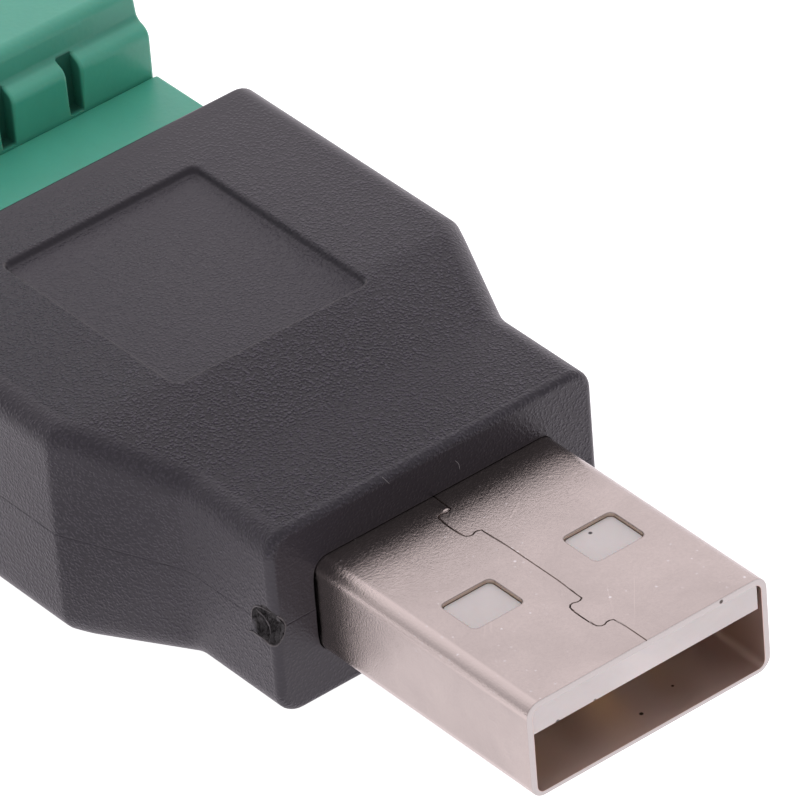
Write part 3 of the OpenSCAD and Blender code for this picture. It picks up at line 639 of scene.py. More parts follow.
def metal_finish(name, colour, stain, roughness, patches, peel, specks=7000.0, smoothed=""):
    """Plated metal: mottled colour and roughness, fine orange peel, faint scratches and sparse dark pits.

    An attribute can smooth the orange peel away.
    """
    finish, tree, shader, place = new_finish(name, metallic=1.0)
    mottle = use_group(tree, mottle_group(), -900, 200, place, patches_per_metre=patches, specks_per_metre=specks)
    marks = use_group(tree, scratch_group(), -900, -60, place, lines_per_metre=900.0, width=0.012, turn=0.7)["Mask"]
    pits = use_group(tree, dust_group(), -900, -300, place, cells_per_metre=700.0, size=0.07, share=0.12)["Mask"]
    last = clouded(tree, mottle, colour)
    last = over(tree, -360, 260, ranged(tree, -600, 60, mottle["Specks"], 0.0, 0.22), last, scaled(colour, 0.76))
    last = over(tree, -120, 260, pits, last, stain)
    last = over(tree, 120, 260, ranged(tree, -120, 20, marks, 0.0, 0.35), last, scaled(colour, 1.25))
    gloss = ranged(tree, 120, -20, mottle["Patches"], roughness * 0.9, roughness * 1.12)
    height = mottle["Specks"]
    if smoothed:
        flat = ranged(tree, -120, -560, painted(tree, -120, -400, smoothed), 1.0, 0.0)
        height = times(tree, 120, -400, height, flat)
    normal = bump(tree, 600, -260, marks, peel * 0.5, under=bump(tree, 360, -260, height, peel))
    feed(tree, shader, {"Base Color": last, "Roughness": gloss, "Normal": normal})
    return finish, tree, shader, place, last


def plastic_finish(name, colour, roughness, patches, grain, depth, dust=0.0, masked="", **constants):
    """Moulded plastic: faint clouding of the colour, dust where asked, and moulded grain.

    An attribute can weaken the grain, and then the grain's crowns get a painted highlight and are smoother, and its
    valleys get painted shade.
    """
    finish, tree, shader, place = new_finish(name, **constants)
    mottle = use_group(tree, mottle_group(), -900, 200, place, patches_per_metre=patches, specks_per_metre=5000.0)
    height = use_group(tree, grain_group(), -900, -200, place, cells_per_metre=1.0 / grain)["Height"]
    last = clouded(tree, mottle, colour)
    if dust:
        specks = use_group(tree, dust_group(), -900, -440, place, cells_per_metre=420.0, size=0.034, share=dust)
        last = over(tree, -360, 260, specks["Mask"], last, PALE_DUST)
    gloss = ranged(tree, -360, 0, mottle["Patches"], roughness * 0.93, roughness * 1.07)
    if masked:
        mask = painted(tree, -600, -400, masked)
        # Painted highlight on the grain's crowns and painted shade in its valleys, where the attribute lets the grain
        # show.
        crown = times(tree, -240, 160, ranged(tree, -480, 160, height, 0.0, 1.0, 0.2, 0.85), mask)
        last = over(tree, -120, 400, crown, last, scaled(colour, 4.0))
        valley_shade = times(tree, -240, 420, ranged(tree, -480, 420, height, 0.4, 0.0, 0.25, 0.6), mask)
        last = over(tree, -120, 260, valley_shade, last, scaled(colour, 0.3))
        worn = ranged(tree, -360, -160, height, roughness * 1.25, roughness * 0.68, 0.25, 0.72)
        gloss = put(tree, "Mix", -120, -40, {"Factor": mask, "A": gloss, "B": worn}, data_type="FLOAT").outputs[0]
        level = put(tree, "Math", -600, -300, {0: height, 1: 0.5}, operation="SUBTRACT").outputs[0]
        height = times(tree, -360, -300, level, mask)
    normal = bump(tree, 360, -260, height, depth)
    feed(tree, shader, {"Base Color": last, "Roughness": gloss, "Normal": normal})
    return finish, tree, shader, place, last, normal


def green_finish(name, colour, roughness, patches):
    """The terminal's satin green plastic, through which some light passes."""
    return plastic_finish(name, colour, roughness, patches, grain=0.00025, depth=0.000004, dust=0.04,
                          subsurface_weight=0.25, subsurface_scale=0.0012)


class ADAPTER_OT_stage(bpy.types.Operator):
    """Set the camera, the pale floor and the white light tent."""
    bl_idname = "adapter.set_stage"
    bl_label = "Stage"

    def execute(self, context):
        stage = context.scene.adapter_looks.stage
        a, e, roll = stage.azimuth, stage.elevation, stage.roll
        back = Vector((math.sin(a) * math.cos(e), -math.cos(a) * math.cos(e), math.sin(e)))
        right = Vector((math.cos(a), math.sin(a), 0.0))
        up = back.cross(right)
        right, up = right * math.cos(roll) + up * math.sin(roll), up * math.cos(roll) - right * math.sin(roll)
        lens = bpy.data.cameras.new("Camera")
        lens.sensor_fit = "HORIZONTAL"
        lens.sensor_width = round(stage.sensor / MM, 4)
        lens.lens = round(stage.lens / MM, 4)
        lens.clip_start = 0.01
        lens.clip_end = 10.0
        camera = bpy.data.objects.new("Camera", lens)
        turned = Matrix((right, up, back)).transposed().to_4x4()
        camera.matrix_world = Matrix.Translation(Vector(stage.target) + back * stage.distance) @ turned
        context.scene.collection.objects.link(camera)
        context.scene.camera = camera
        self.floor(context, stage)
        self.tent(context, stage)
        context.scene.view_settings.view_transform = "Standard"
        context.scene.view_settings.look = "None"
        return {"FINISHED"}

    def floor(self, context, stage):
        """Round floor: circles of growing radius just below the underside's plane.

        Its glow is white to the camera. To the adapter it throws light that fades in a patch at the left.
        """
        radius = np.array([0.0, 0.03, 0.08, 0.2, 0.6, 1.5])[:, None]
        angle = np.linspace(0.0, 2 * np.pi, 96, endpoint=False)[None]
        points = np.stack([radius * np.cos(angle), radius * np.sin(angle), 0 * radius * angle - 2e-5], axis=-1)
        quads = grid_quads(*points.shape[:2], close_columns=True).reshape(-1, 4)[:, ::-1]
        mesh = bpy.data.meshes.new("floor")
        mesh.from_pydata(points.reshape(-1, 3), [], quads)
        finish, tree, shader, place = new_finish("pale_floor", roughness=0.9)
        cloud = use_group(tree, mottle_group(), -600, 0, place, patches_per_metre=9.0, specks_per_metre=300.0)
        tint = two_tones(tree, -200, 0, cloud["Patches"], scaled(stage.floor_tone, 0.985), stage.floor_tone)
        away = put(tree, "VectorMath", -600, -300, {0: place, 1: stage.shade_place}, operation="DISTANCE")
        thrown = ranged(tree, -400, -300, away.outputs["Value"], stage.floor_light * stage.shade, stage.floor_light,
                        stage.shade_reach / 4, stage.shade_reach, "SMOOTHSTEP")
        seen = put(tree, "LightPath", -400, -600).outputs["Is Camera Ray"]
        glow = put(tree, "Mix", 0, -300, {"Factor": seen, "A": thrown, "B": stage.floor_white}, data_type="FLOAT")
        light = two_tones(tree, 0, -560, seen, stage.sky_tint, (1.0, 1.0, 1.0))
        feed(tree, shader, {"Base Color": tint, "Emission Color": light, "Emission Strength": glow.outputs[0],
                            "Specular IOR Level": 0.0})
        mesh.materials.append(finish)
        floor = bpy.data.objects.new("floor", mesh)
        context.scene.collection.objects.link(floor)

    def tent(self, context, stage):
        """White tent: a sky that is bright round the lamp behind the adapter's right and dim elsewhere."""
        world = bpy.data.worlds.new("White tent")
        world.use_nodes = True
        tree = world.node_tree
        glow = tree.nodes["Background"]
        way = put(tree, "TexCoord", -800, 0).outputs["Generated"]
        facing = put(tree, "VectorMath", -600, 0, {0: way, 1: stage.lamp}, operation="DOT_PRODUCT").outputs["Value"]
        level = ranged(tree, -360, 0, facing, stage.sky_rest, stage.sky, 0.0, 0.96, "SMOOTHSTEP")
        feed(tree, glow, {"Color": (*stage.sky_tint, 1.0), "Strength": level})
        context.scene.world = world


class ADAPTER_OT_shell(bpy.types.Operator):
    """Fold the plug shell from sheet, with its windows, rounded mouth and locked butt seam."""
    bl_idname = "adapter.fold_shell"
    bl_label = "Plug shell"

    def execute(self, context):
        shell = context.scene.adapter_looks.shell
        points, quads, values = self.surface(shell)
        finish, tree, shader, place, last = metal_finish(
            "satin_nickel", shell.nickel, shell.stain, roughness=0.20, patches=330.0, peel=0.000005,
            specks=10000.0, smoothed="inside")
        groove, bare, wall, inside, bent = (painted(tree, 360 * i - 120, 1200, key) for i, key in
                                            enumerate(("seam", "cut", "wall", "inside", "bend")))
        flecks = use_group(tree, dust_group(), -600, 560, place, cells_per_metre=4200.0, size=0.4, share=0.3)
        worn = use_group(tree, mottle_group(), -900, 700, place, patches_per_metre=210.0, specks_per_metre=4200.0)
        scuff = times(tree, -360, 560, flecks["Mask"], ranged(tree, -600, 760, worn["Patches"], 0.0, 0.8, 0.4, 0.7))
        # Painted highlight: the outer bend on the left side gets a lighter nickel in its colour.
        last = over(tree, 120, 520, bent, last, scaled(shell.nickel, 1.16))
        last = over(tree, 240, 520, scuff, last, shell.fleck)
        # Dull plating inside, whose lighter, warmer colour is painted light in the dim cavity.
        last = over(tree, 240, 380, inside, last, shell.inside)
        # Dirt and painted shade in the butt seam's groove, and a painted shade line round each window's outline.
        last = over(tree, 620, 520, ranged(tree, 120, 760, groove, 0.0, 0.8), last, shell.dirt_and_painted_shade)
        last = over(tree, 620, 380, wall, last, shell.wall)
        last = over(tree, 760, 520, bare, last, shell.cut_edge)
        tip, floor = SHELL_LOW[1:]
        specks = [((3.715, tip, 7.21), 0.11), ((0.3, tip + 1.03, floor + 0.215), 0.11),
                  ((2.28, tip + 1.5, floor + 0.23), 0.075)]
        last = dirtied(tree, place, last, specks, DIRT)
        unscuffed = ranged(tree, 460, 900, scuff, 1.0, 0.35)
        metal = times(tree, 760, 760, ranged(tree, 620, 760, bare, 1.0, 0.1), unscuffed)
        gloss = shader.inputs["Roughness"].links[0].from_socket
        dull = put(tree, "Math", 620, 240, {0: gloss, 1: ranged(tree, 460, 240, inside, 0.0, 0.24)}, operation="ADD")
        feed(tree, shader, {"Base Color": last, "Metallic": metal, "Roughness": dull.outputs[0]})
        add_piece("plug_shell", points, quads, finish, "adapter", "nickel_shell", ["usb_shell"], values=values)
        return {"FINISHED"}

    def seam_path(self, shell):
        """Butt seam seen from above: straight along the middle, with a hooked detour round each locking tab."""
        w, l, bevel = shell.tab_width / MM, shell.tab_length / MM, shell.tab_bevel / MM
        neck, out = shell.tab_neck / MM, shell.tab_neck_out / MM
        tab = np.array([(0, 0), (-out, -neck), (bevel - w, 0), (-w, -bevel),
                        (-w, bevel - l), (bevel - w, -l), (-out, neck - l), (0, -l)])
        rear = np.array([0, FRONT_Y - shell.tab_rear / MM])
        front = np.array([0, SHELL_LOW[1] + shell.tab_front / MM + l])
        ends = np.array([(0, SHELL_HIGH[1])]), np.array([(0, SHELL_LOW[1])])
        return cut_corners(np.concatenate([ends[0], tab + rear, tab + front, ends[1]]), 1)

    def surface(self, shell):
        """Sheet as one closed grid: a rounded ring round the plug, carried along a closed profile.

        The profile, of places (y, depth in the sheet), runs forward outside, round the mouth and back inside. Near
        the seam the outer skin sinks by depth * exp(-(distance / width)^4), less along its straight stretches, and
        a low bell lifts a burr beside the rear tab. Towards the mouth the inside's lower half is stretched down by
        a thin flare. Each window is a second grid, whose rows run from the edge of a removed block of cells to the
        window's outline, down its wall and back out inside.
        """
        tip, root = SHELL_LOW[1], SHELL_HIGH[1]
        half_w, half_h, sheet = SHELL_HIGH[0], (SHELL_HIGH[2] - SHELL_LOW[2]) / 2, shell.sheet / MM
        bend, rim, lip = shell.bend / MM, shell.rim_round / MM, shell.lip_round / MM
        half_x, half_y, margin = shell.window_width / MM / 2, shell.window_length / MM / 2, 0.36
        off, window_y = shell.window_offset / MM, tip + shell.window_setback / MM + shell.window_length / MM / 2
        x_out, x_in = round(off + half_x + margin, 4), round(off - half_x - margin, 4)
        y_near, y_far = round(window_y - half_y - margin, 4), round(window_y + half_y + margin, 4)
        tab = shell.tab_length / MM
        tab_y = [FRONT_Y - shell.tab_rear / MM, tip + shell.tab_front / MM + shell.tab_length / MM]
        a, beside = half_w - bend, 0.09
        hook = round(shell.tab_width / MM + beside, 4)
        plain = [(-a, -x_out, 0.2), (-x_out, -x_in, 0.17), (x_in, x_out, 0.17), (x_out, a, 0.2)]
        top = lines(*plain, (-x_in, -hook, 0.15), (-hook, beside, 0.0125), (beside, x_in, 0.2))
        low = lines(*plain, (-x_in, x_in, 0.3))
        side = lines((-(half_h - bend), half_h - bend, 0.25))
        fine = [(y - (tab + 0.06) * k - 0.3 * (1 - k), y - (tab - 0.3) * k + 0.06 * (1 - k), 0.0125)
                for y in tab_y for k in (0, 1)]
        outer_y = lines((tip + rim, root, 0.3), (y_near, y_far, 0.17), *fine)
        outer_y = outer_y[(outer_y >= tip + rim) & (outer_y <= root)][::-1]
        inner_y = lines((tip + lip, root, 0.6), (y_near, y_far, 0.17))
        patch = outer_y[(outer_y >= y_near - 1e-6) & (outer_y <= y_far + 1e-6)]
        inner_y = np.unique(np.concatenate([inner_y[(inner_y < y_near) | (inner_y > y_far)], patch]))
        arc = np.linspace(0.0, np.pi / 2, 7)[1:]
        profile = np.concatenate([
            np.stack([outer_y, 0 * outer_y], 1),
            np.stack([tip + rim * (1 - np.sin(arc)), rim * (1 - np.cos(arc))], 1),
            np.stack([np.full(6, tip), np.linspace(rim, sheet - lip, 8)[1:-1]], 1),
            np.stack([tip + lip * (1 - np.cos(arc[:-1])), sheet - lip * (1 - np.sin(arc[:-1]))], 1),
            np.stack([inner_y, sheet + 0 * inner_y], 1)])
        depth = profile[:, 1]
        sections = np.stack([profile[:, 0], half_w - depth, half_h - depth, bend - depth, MID_Z + 0 * depth], 1)
        rings = rounded_rings(sections, top, low, side, a, half_h - bend, CORNER_STEPS)
        part = ring_parts(top, low, side, CORNER_STEPS)
        rows, columns = rings.shape[:2]
        gap = path_distance(rings[..., 0], rings[..., 1], self.seam_path(shell))
        skin = (np.arange(rows) < len(outer_y) + 3)[:, None] & (part == TOP)
        seam = np.exp(-(gap / (shell.seam_width / MM)) ** 4) * skin
        hooked = smooth((0.06 - rings[..., 0]) / 0.16)
        burr_x, burr_y = (rings[..., 0] + 0.25) / 0.12, (rings[..., 1] - tab_y[0] - 0.06) / 0.05
        burr = np.exp(-burr_x ** 2 - burr_y ** 2) * skin
        rings[..., 2] += 0.035 * burr - shell.seam_depth / MM * seam * (0.45 + 0.55 * hooked)
        mouth = depth / sheet * (1.0 - smooth((profile[:, 0] - tip) / 4.0))
        flare = shell.flare / MM / (half_h - sheet) * mouth[:, None]
        rings[..., 2] += flare * np.minimum(rings[..., 2] - MID_Z, 0.0)
        deep = depth[:, None]
        front = (profile[:, :1] < tip + 0.4 * rim) & ((deep < 0.88 * sheet) | (part == TOP))
        # The seam mark is dirt in the butt seam's groove that also stands in as painted shade.
        marks = {"seam": seam * (0.15 + 0.85 * hooked),
                 # The bend mark is a painted highlight on the outer bend at the left.
                 "bend": (part == ARC) * (deep < 0.02) * (rings[..., 0] < 0),
                 "cut": 1.0 * front,
                 "wall": 0.0 * seam,
                 "inside": (deep > 0.9 * sheet) * ~front + 0.0 * seam}
        quads = grid_quads(rows, columns, close_rows=True, close_columns=True)
        kept = np.ones(quads.shape[:2], bool)
        low_start = int(np.argmax(part[0] == UNDER))
        pieces, cells = [rings.reshape(-1, 3)], []
        start = rows * columns
        for sign in (-1, 1):
            for face_x, first, sky in ((top, 0, 1), (low[::-1], low_start, -1)):
                across = [first + int(np.argmin(np.abs(face_x - sign * x))) for x in (x_in, x_out)]
                i0, i1 = min(across), max(across)
                out = [int(np.argmin(np.abs(outer_y - y))) for y in (y_far, y_near)]
                inn = [rows - len(inner_y) + int(np.argmin(np.abs(inner_y - y))) for y in (y_near, y_far)]
                kept[out[0]:out[1], i0:i1] = False
                kept[inn[0]:inn[1], i0:i1] = False
                edge = self.block_edge(rings[out[0]:out[1] + 1, i0:i1 + 1])
                centre = np.array([sign * off, window_y])
                reach = self.outline(edge[:, :2] - centre, half_x, half_y, shell.window_round / MM)
                wall = self.window_rows(edge, centre, reach, MID_Z + sky * half_h, -sky, sheet)
                pieces.append(wall.reshape(-1, 3))
                row = np.arange(len(wall))[:, None] + 0 * wall[..., 0]
                # Rows 4 to 6, round the window's outline, carry the seam mark at half strength: a painted shade line.
                masks = {"seam": 0.5 * ((row >= 4) & (row <= 6)), "wall": (row >= 6) & (row <= 8), "inside": row > 8}
                for key in marks:
                    marks[key] = np.concatenate([marks[key].ravel(), masks.get(key, row < 0).ravel()])
                cells.append(grid_quads(*wall.shape[:2], close_columns=True).reshape(-1, 4) + start)
                start += wall.shape[0] * wall.shape[1]
        return np.concatenate(pieces), np.concatenate([quads[kept], *cells]), marks

    def block_edge(self, block):
        """Points round the edge of a block of grid points, in order."""
        return np.concatenate([block[0, :-1], block[:-1, -1], block[-1, :0:-1], block[:0:-1, 0]])

    def outline(self, rays, half_x, half_y, r):
        """Length along each ray from the middle to a rectangle with round corners, found by halving."""
        way = rays / np.linalg.norm(rays, axis=1, keepdims=True)
        near, far = np.zeros(len(way)), np.full(len(way), 2 * (half_x + half_y))
        for _ in range(40):
            middle = (near + far) / 2
            inside = rounded_box_distance(way[:, 0] * middle, way[:, 1] * middle, half_x, half_y, r) < 0
            near, far = np.where(inside, middle, near), np.where(inside, far, middle)
        return way * near[:, None]

    def window_rows(self, edge, centre, reach, face_z, inward, sheet):
        """Rows of a window: from the cell block's edge to the outline, over a small round, down the wall and back."""
        flat, lip = edge[:, :2] - centre, 0.035
        grown = reach * (1 + lip / np.linalg.norm(reach, axis=1, keepdims=True))
        part = np.array([0.0, 0.35, 0.65, 0.88, 1.0])[:, None, None]
        outside = flat * (1 - part) + grown * part
        rounds = np.array([0.7, 0.3, 0.0])[:, None, None]
        turn = reach * (1 - rounds) + grown * rounds
        plan = np.concatenate([outside, turn, reach[None], outside[::-1]])
        drop = np.array([0, 0, 0, 0, 0, 0.012, 0.028, 0.06, sheet - 0.01, sheet, sheet, sheet, sheet, sheet])
        z = face_z + inward * drop[:, None] + 0 * plan[..., 0]
        return np.concatenate([plan + centre, z[..., None]], axis=-1)


class ADAPTER_OT_insulator(bpy.types.Operator):
    """Finish the plug's insulator and its four contacts."""
    bl_idname = "adapter.finish_insulator"
    bl_label = "Insulator and contacts"

    def execute(self, context):
        looks = context.scene.adapter_looks
        white, tree, shader, place, last, _ = plastic_finish(
            "white_insulator", looks.moulding.white, roughness=0.42, patches=260.0, grain=0.0002, depth=0.000002,
            dust=0.1, subsurface_weight=0.15, subsurface_scale=0.0006)
        low, high = box("usb_tongue")
        # Dark specks: one on the tongue's top, and two dark marks on its lower front edge.
        specks = [((2.95, FRONT_Y - 5.9, high[2]), 0.1), ((-4.5, low[1], 5.86), 0.12), ((-2.65, low[1], 5.86), 0.1)]
        feed(tree, shader, {"Base Color": dirtied(tree, place, last, specks, DARK_SPECK)})
        gold = metal_finish("gold_flash", looks.terminal.gold, (0.3, 0.2, 0.1),
                            roughness=0.24, patches=500.0, peel=0.000004)[0]
        tongue = softened_copy("plug_insulator", "usb_tongue", white, "adapter", 0.015 * MM,
                               lambda at, way: at[:, 1] < low[1] + 0.01)
        left, right = looks.moulding.tongue_left, looks.moulding.tongue_right
        spots = gathered(tongue.data.vertices, "co", 3)
        spots[:, 0] -= np.where(spots[:, 0] < (low[0] + 0.01) * MM, left, 0.0)
        spots[:, 0] += np.where(spots[:, 0] > (high[0] - 0.01) * MM, right, 0.0)
        tongue.data.vertices.foreach_set("co", spots.ravel())
        for contact in ("supply", "data_minus", "data_plus", "ground"):
            dress_node("usb_contact_" + contact, gold, looks.terminal.metal_round)
        return {"FINISHED"}


class ADAPTER_OT_body(bpy.types.Operator):
    """Mould the black body, with its recess, parting line and torn gate."""
    bl_idname = "adapter.mould_body"
    bl_label = "Moulded body"

    def execute(self, context):
        mould = context.scene.adapter_looks.moulding
        finish, tree, shader, place, last, normal = plastic_finish(
            "black_moulding", mould.black, roughness=0.365, patches=180.0, grain=mould.grain_size, depth=0.000220,
            dust=0.10, masked="grain")
        torn = painted(tree, -120, 600, "torn")
        # Painted highlight: a pale line along the recess's front and left edges, in a lighter colour.
        last = over(tree, 120, 600, painted(tree, -120, 760, "pale"), last, scaled(mould.torn, 0.7))
        last = over(tree, 240, 500, torn, last, scaled(mould.torn, 0.25))
        shreds = put(tree, "TexNoise", -120, -560, {"Vector": place, "Scale": 4200.0, "Detail": 4.0,
                                                    "Roughness": 0.7})
        height = times(tree, 360, -560, shreds.outputs["Fac"], torn)
        feed(tree, shader, {"Base Color": last, "Normal": bump(tree, 600, -420, height, 0.00009, under=normal)})
        shred = plastic_finish("torn_plastic", mould.torn, roughness=0.3, patches=900.0,
                               grain=0.00012, depth=0.00003)[0]
        fibre = plastic_finish("pale_fibre", mould.fibre, roughness=0.6, patches=900.0,
                               grain=0.00005, depth=0.000002)[0]
        points, quads, values = self.surface(mould)
        add_piece("moulded_body", points, quads, finish, "adapter", "black_moulding", ["overmould"], values=values)
        add_piece("gate_flash", *self.torn_flash(mould), shred, "adapter", "black_moulding")
        add_piece("dust_fibres", *self.fibres(), fibre, "adapter", "black_moulding")
        return {"FINISHED"}

    def skin_sections(self, mould):
        """Sections of the outer skin from the front face to the rear face.

        Half width and half height follow a plan and a side profile with arcs at their corners, and both shrink
        by a quarter circle at the front and rear faces.
        """
        size = BODY_HIGH[1] - FRONT_Y
        narrow, shoulder = mould.narrow_length / MM, (mould.narrow_length + mould.taper_length) / MM
        half_w, half_h = mould.narrow_width / MM / 2, mould.narrow_height / MM / 2
        plan = rounded_path([(0, half_w, 0), (narrow, half_w, mould.neck_round / MM),
                             (shoulder, BODY_HIGH[0], mould.shoulder_round / MM), (size, BODY_HIGH[0], 0)])
        tall, blend = (BODY_HIGH[2] - BODY_LOW[2]) / 2, mould.slope_round / MM
        side = rounded_path([(0, half_h, 0), (mould.slope_foot / MM, half_h, blend),
                             (mould.slope_head / MM, tall, blend), (size, tall, 0)])
        front, rear = mould.front_round / MM, mould.rear_round / MM
        turn = np.linspace(0.0, np.pi / 2, ROUND_ROWS)
        recess = size - mould.recess_rear / MM
        start = recess - mould.recess_length / MM
        ends = [(recess - 0.45, recess + 0.3, 0.025), (start - 0.3, start + 0.45, 0.025)]
        middle = lines((front, 1.7, 0.05), (1.7, narrow - 1.4, 0.3), (narrow - 1.4, shoulder + 0.6, 0.16),
                       (shoulder + 0.6, size - rear, 0.45), *ends)
        y = np.concatenate([front * (1 - np.cos(turn)), middle[1:-1], size - rear * (1 - np.sin(turn))])
        inset = np.concatenate([front * (1 - np.sin(turn)), 0 * middle[1:-1], rear * (1 - np.cos(turn))])
        w, h = np.interp(y, plan[:, 0], plan[:, 1]), np.interp(y, side[:, 0], side[:, 1])
        return np.stack([y, w - inset, h - inset, mould.edge_round / MM - inset, MID_Z + 0 * y], 1)

    def surface(self, mould):
        """Body as one grid that is closed both ways.

        Rounded rings run back along the skin, over the rear face, forward through the header's pocket, the board's
        space and the shell's socket, and over the front face to the start. The recess presses the top down to its
        floor by half of 1 - tanh(distance from its outline / softness), and its front and left edges stand up a
        little, dying out as exp(-distance / 0.4). The parting line sinks into the sides by
        exp(-t^2 / 2) of the height over the middle. Points inside the gate's sphere go out to its surface.
        """
        size, gap = BODY_HIGH[1] - FRONT_Y, mould.gap / MM
        skin = self.skin_sections(mould)
        header_w, header_h = HEADER_HIGH[0] + gap, (HEADER_HIGH[2] - HEADER_LOW[2]) / 2 + gap
        header_y = HEADER_LOW[1] - FRONT_Y - gap
        tails, floor = PIN_HIGH[2] + gap, BOARD_LOW[2] - gap
        board = ((tails - floor) / 2, 0.05, (tails + floor) / 2)
        board_w, tab_w = BOARD_HIGH[0] + gap, BOARD_TAB_HALF + gap
        step_y = BOARD_HIGH[1] - FRONT_Y - BOARD_WIDE - gap
        socket = np.array([SHELL_HIGH[0], (SHELL_HIGH[2] - SHELL_LOW[2]) / 2, SHELL_BEND]) + gap
        tight = socket - gap + 0.012
        socket_y = SHELL_HIGH[1] - FRONT_Y + gap
        rear = skin[-1]
        pocket = np.array([size, header_w + 0.06, header_h + 0.06, 0.11, MID_Z])
        part = np.linspace(0.0, 1.0, 6)[1:, None]
        inside = np.array([
            (size - 0.06, header_w, header_h, 0.05, MID_Z), (header_y, header_w, header_h, 0.05, MID_Z),
            (header_y, board_w, *board), (step_y, board_w, *board), (step_y, tab_w, *board),
            (socket_y, tab_w, *board), (socket_y, *socket, MID_Z), (0.7, *socket, MID_Z),
            (0.5, *tight, MID_Z), (0.03, *tight, MID_Z), (0.009, *(tight + 0.009), MID_Z)])
        mouth = np.array([0.0, *(tight + 0.03), MID_Z])
        face = np.linspace(0.0, 1.0, 41)[:-1, None]
        sections = np.concatenate([skin, rear * (1 - part) + pocket * part, inside,
                                   mouth * (1 - face) + skin[0] * face])
        half = mould.recess_width / MM / 2
        flat = 9.35
        top = lines((-flat, -half - 0.3, 0.4), (-half - 0.3, -half + 0.45, 0.025), (-half + 0.45, half - 0.45, 0.4),
                    (half - 0.45, half + 0.3, 0.025), (half + 0.3, flat, 0.4))
        low = lines((-flat, flat, 0.5))
        side = lines((-4.0, -1.2, 0.35), (-1.2, -0.1, 0.05), (-0.1, 0.1, 0.0125), (0.1, 1.2, 0.05), (1.2, 4.0, 0.35))
        steps = CORNER_STEPS - 1
        rings = rounded_rings(sections, top, low, side, half + 0.3, 1.3, steps)
        row = np.arange(len(sections))[:, None]
        outer, before = row < len(skin), row >= len(sections) - len(face)
        part = ring_parts(top, low, side, steps)
        x, y, z = rings[..., 0], rings[..., 1], rings[..., 2]
        half_l, on_top = mould.recess_length / MM / 2, outer & (part == TOP)
        recess_y = size - mould.recess_rear / MM - half_l
        edge = rounded_box_distance(x, y - recess_y, half, half_l, mould.recess_round / MM)
        press = (0.5 - 0.5 * np.tanh(edge / (mould.recess_edge / MM))) * on_top
        floor_z = BODY_HIGH[2] - mould.recess_depth / MM
        raised = np.where(edge > 0, np.exp(-np.abs(edge) / 0.4), np.exp(-(edge / 0.05) ** 2)) * on_top
        near_side = smooth((np.maximum(recess_y - y - half_l, -half - x) + 0.3) / 0.3)
        z += press * np.minimum(floor_z - z, 0.0) + mould.recess_lift / MM * raised * near_side
        # pale is a painted highlight along the recess's front and left edges.
        pale = np.exp(-((edge - 0.08) / 0.045) ** 2) * near_side * on_top
        t = (z - MID_Z) / 0.022
        line = mould.parting_depth / MM * np.exp(-t * t / 2)
        right, left = part == RIGHT, part == LEFT
        x -= line * outer * (right * 1.0 - left * 1.0)
        y += line * before * (right | left)
        rings[..., 1] += FRONT_Y
        lip = (row >= len(sections) - len(face) - 3) & ~(right | (part == TOP) | (part == UNDER))
        beside = (x < 0) * (np.abs(x) < tight[0] + 0.05) * smooth((tight[1] - np.abs(z - MID_Z)) / 1.2)
        x -= mould.side_gap / MM * lip * beside
        values = {"grain": self.grain(mould, rings, press, part, row, len(skin), before),
                  "torn": self.tear(rings, mould, outer | before), "pale": pale}
        quads = grid_quads(*rings.shape[:2], close_rows=True, close_columns=True)
        return rings.reshape(-1, 3), quads.reshape(-1, 4), values

    def grain(self, mould, rings, press, part, row, skin, before):
        """Strength of the grain: worn down to the rear and on the sides, and nearly none on rounded edges."""
        x, back = rings[..., 0], rings[..., 1] - FRONT_Y
        foot, head, neck = mould.slope_foot / MM, mould.slope_head / MM, mould.narrow_length / MM
        tops = np.interp(back, [1.0, foot - 1.0, foot + 2.0, head + 1.0, head + 13.0], [1.0, 0.8, 1.0, 0.6, 0.1])
        sides = np.interp(back, [0.0, neck, neck + 1.5, neck + 4.5, neck + 6.0], [0.24, 0.24, 0.16, 0.16, 0.21])
        tops = tops * (1.0 - 0.5 * press) * (1.0 - 3.2 * press * (1.0 - press))
        tops = tops * (1.0 - 0.25 * smooth((x - 1.0) / 5.0))
        face = np.where((part == RIGHT) | (part == LEFT), sides, tops)
        bent = (part == ARC) | (row < ROUND_ROWS) | (row >= skin - ROUND_ROWS)
        front = 0.07 + 0.19 * smooth((x - 4.0) / 3.0)
        return np.where(row < skin, np.where(bent, 0.3 * face, face), np.where(before, front, 0.0))

    def gate_centre(self, mould):
        """Middle of the gate's sphere."""
        return np.array([-mould.narrow_width / MM / 2 - mould.gate_out / MM, FRONT_Y + mould.gate_back / MM, MID_Z])

    def tear(self, rings, mould, torn):
        """Pushes points of the skin out of the gate's sphere, whose radius is broken up by waves into folds."""
        away = rings - self.gate_centre(mould)
        far = np.linalg.norm(away, axis=-1)
        way = away / np.maximum(far, 1e-9)[..., None]
        folds = 0.07 * np.sin(9 * way[..., 2] + 4 * way[..., 1]) + 0.05 * np.sin(23 * way[..., 1] - 9 * way[..., 2])
        radius = mould.gate_radius / MM * (0.98 + 0.03 * np.sin(5 * np.arctan2(way[..., 2], way[..., 1])))
        inside = torn & (far < radius)
        depth = np.clip((radius - far) / 0.2, 0.0, 1.0)
        moved = self.gate_centre(mould) + way * (radius - folds * depth)[..., None]
        rings[inside] = moved[inside]
        return inside * smooth((radius - far) / 0.08)

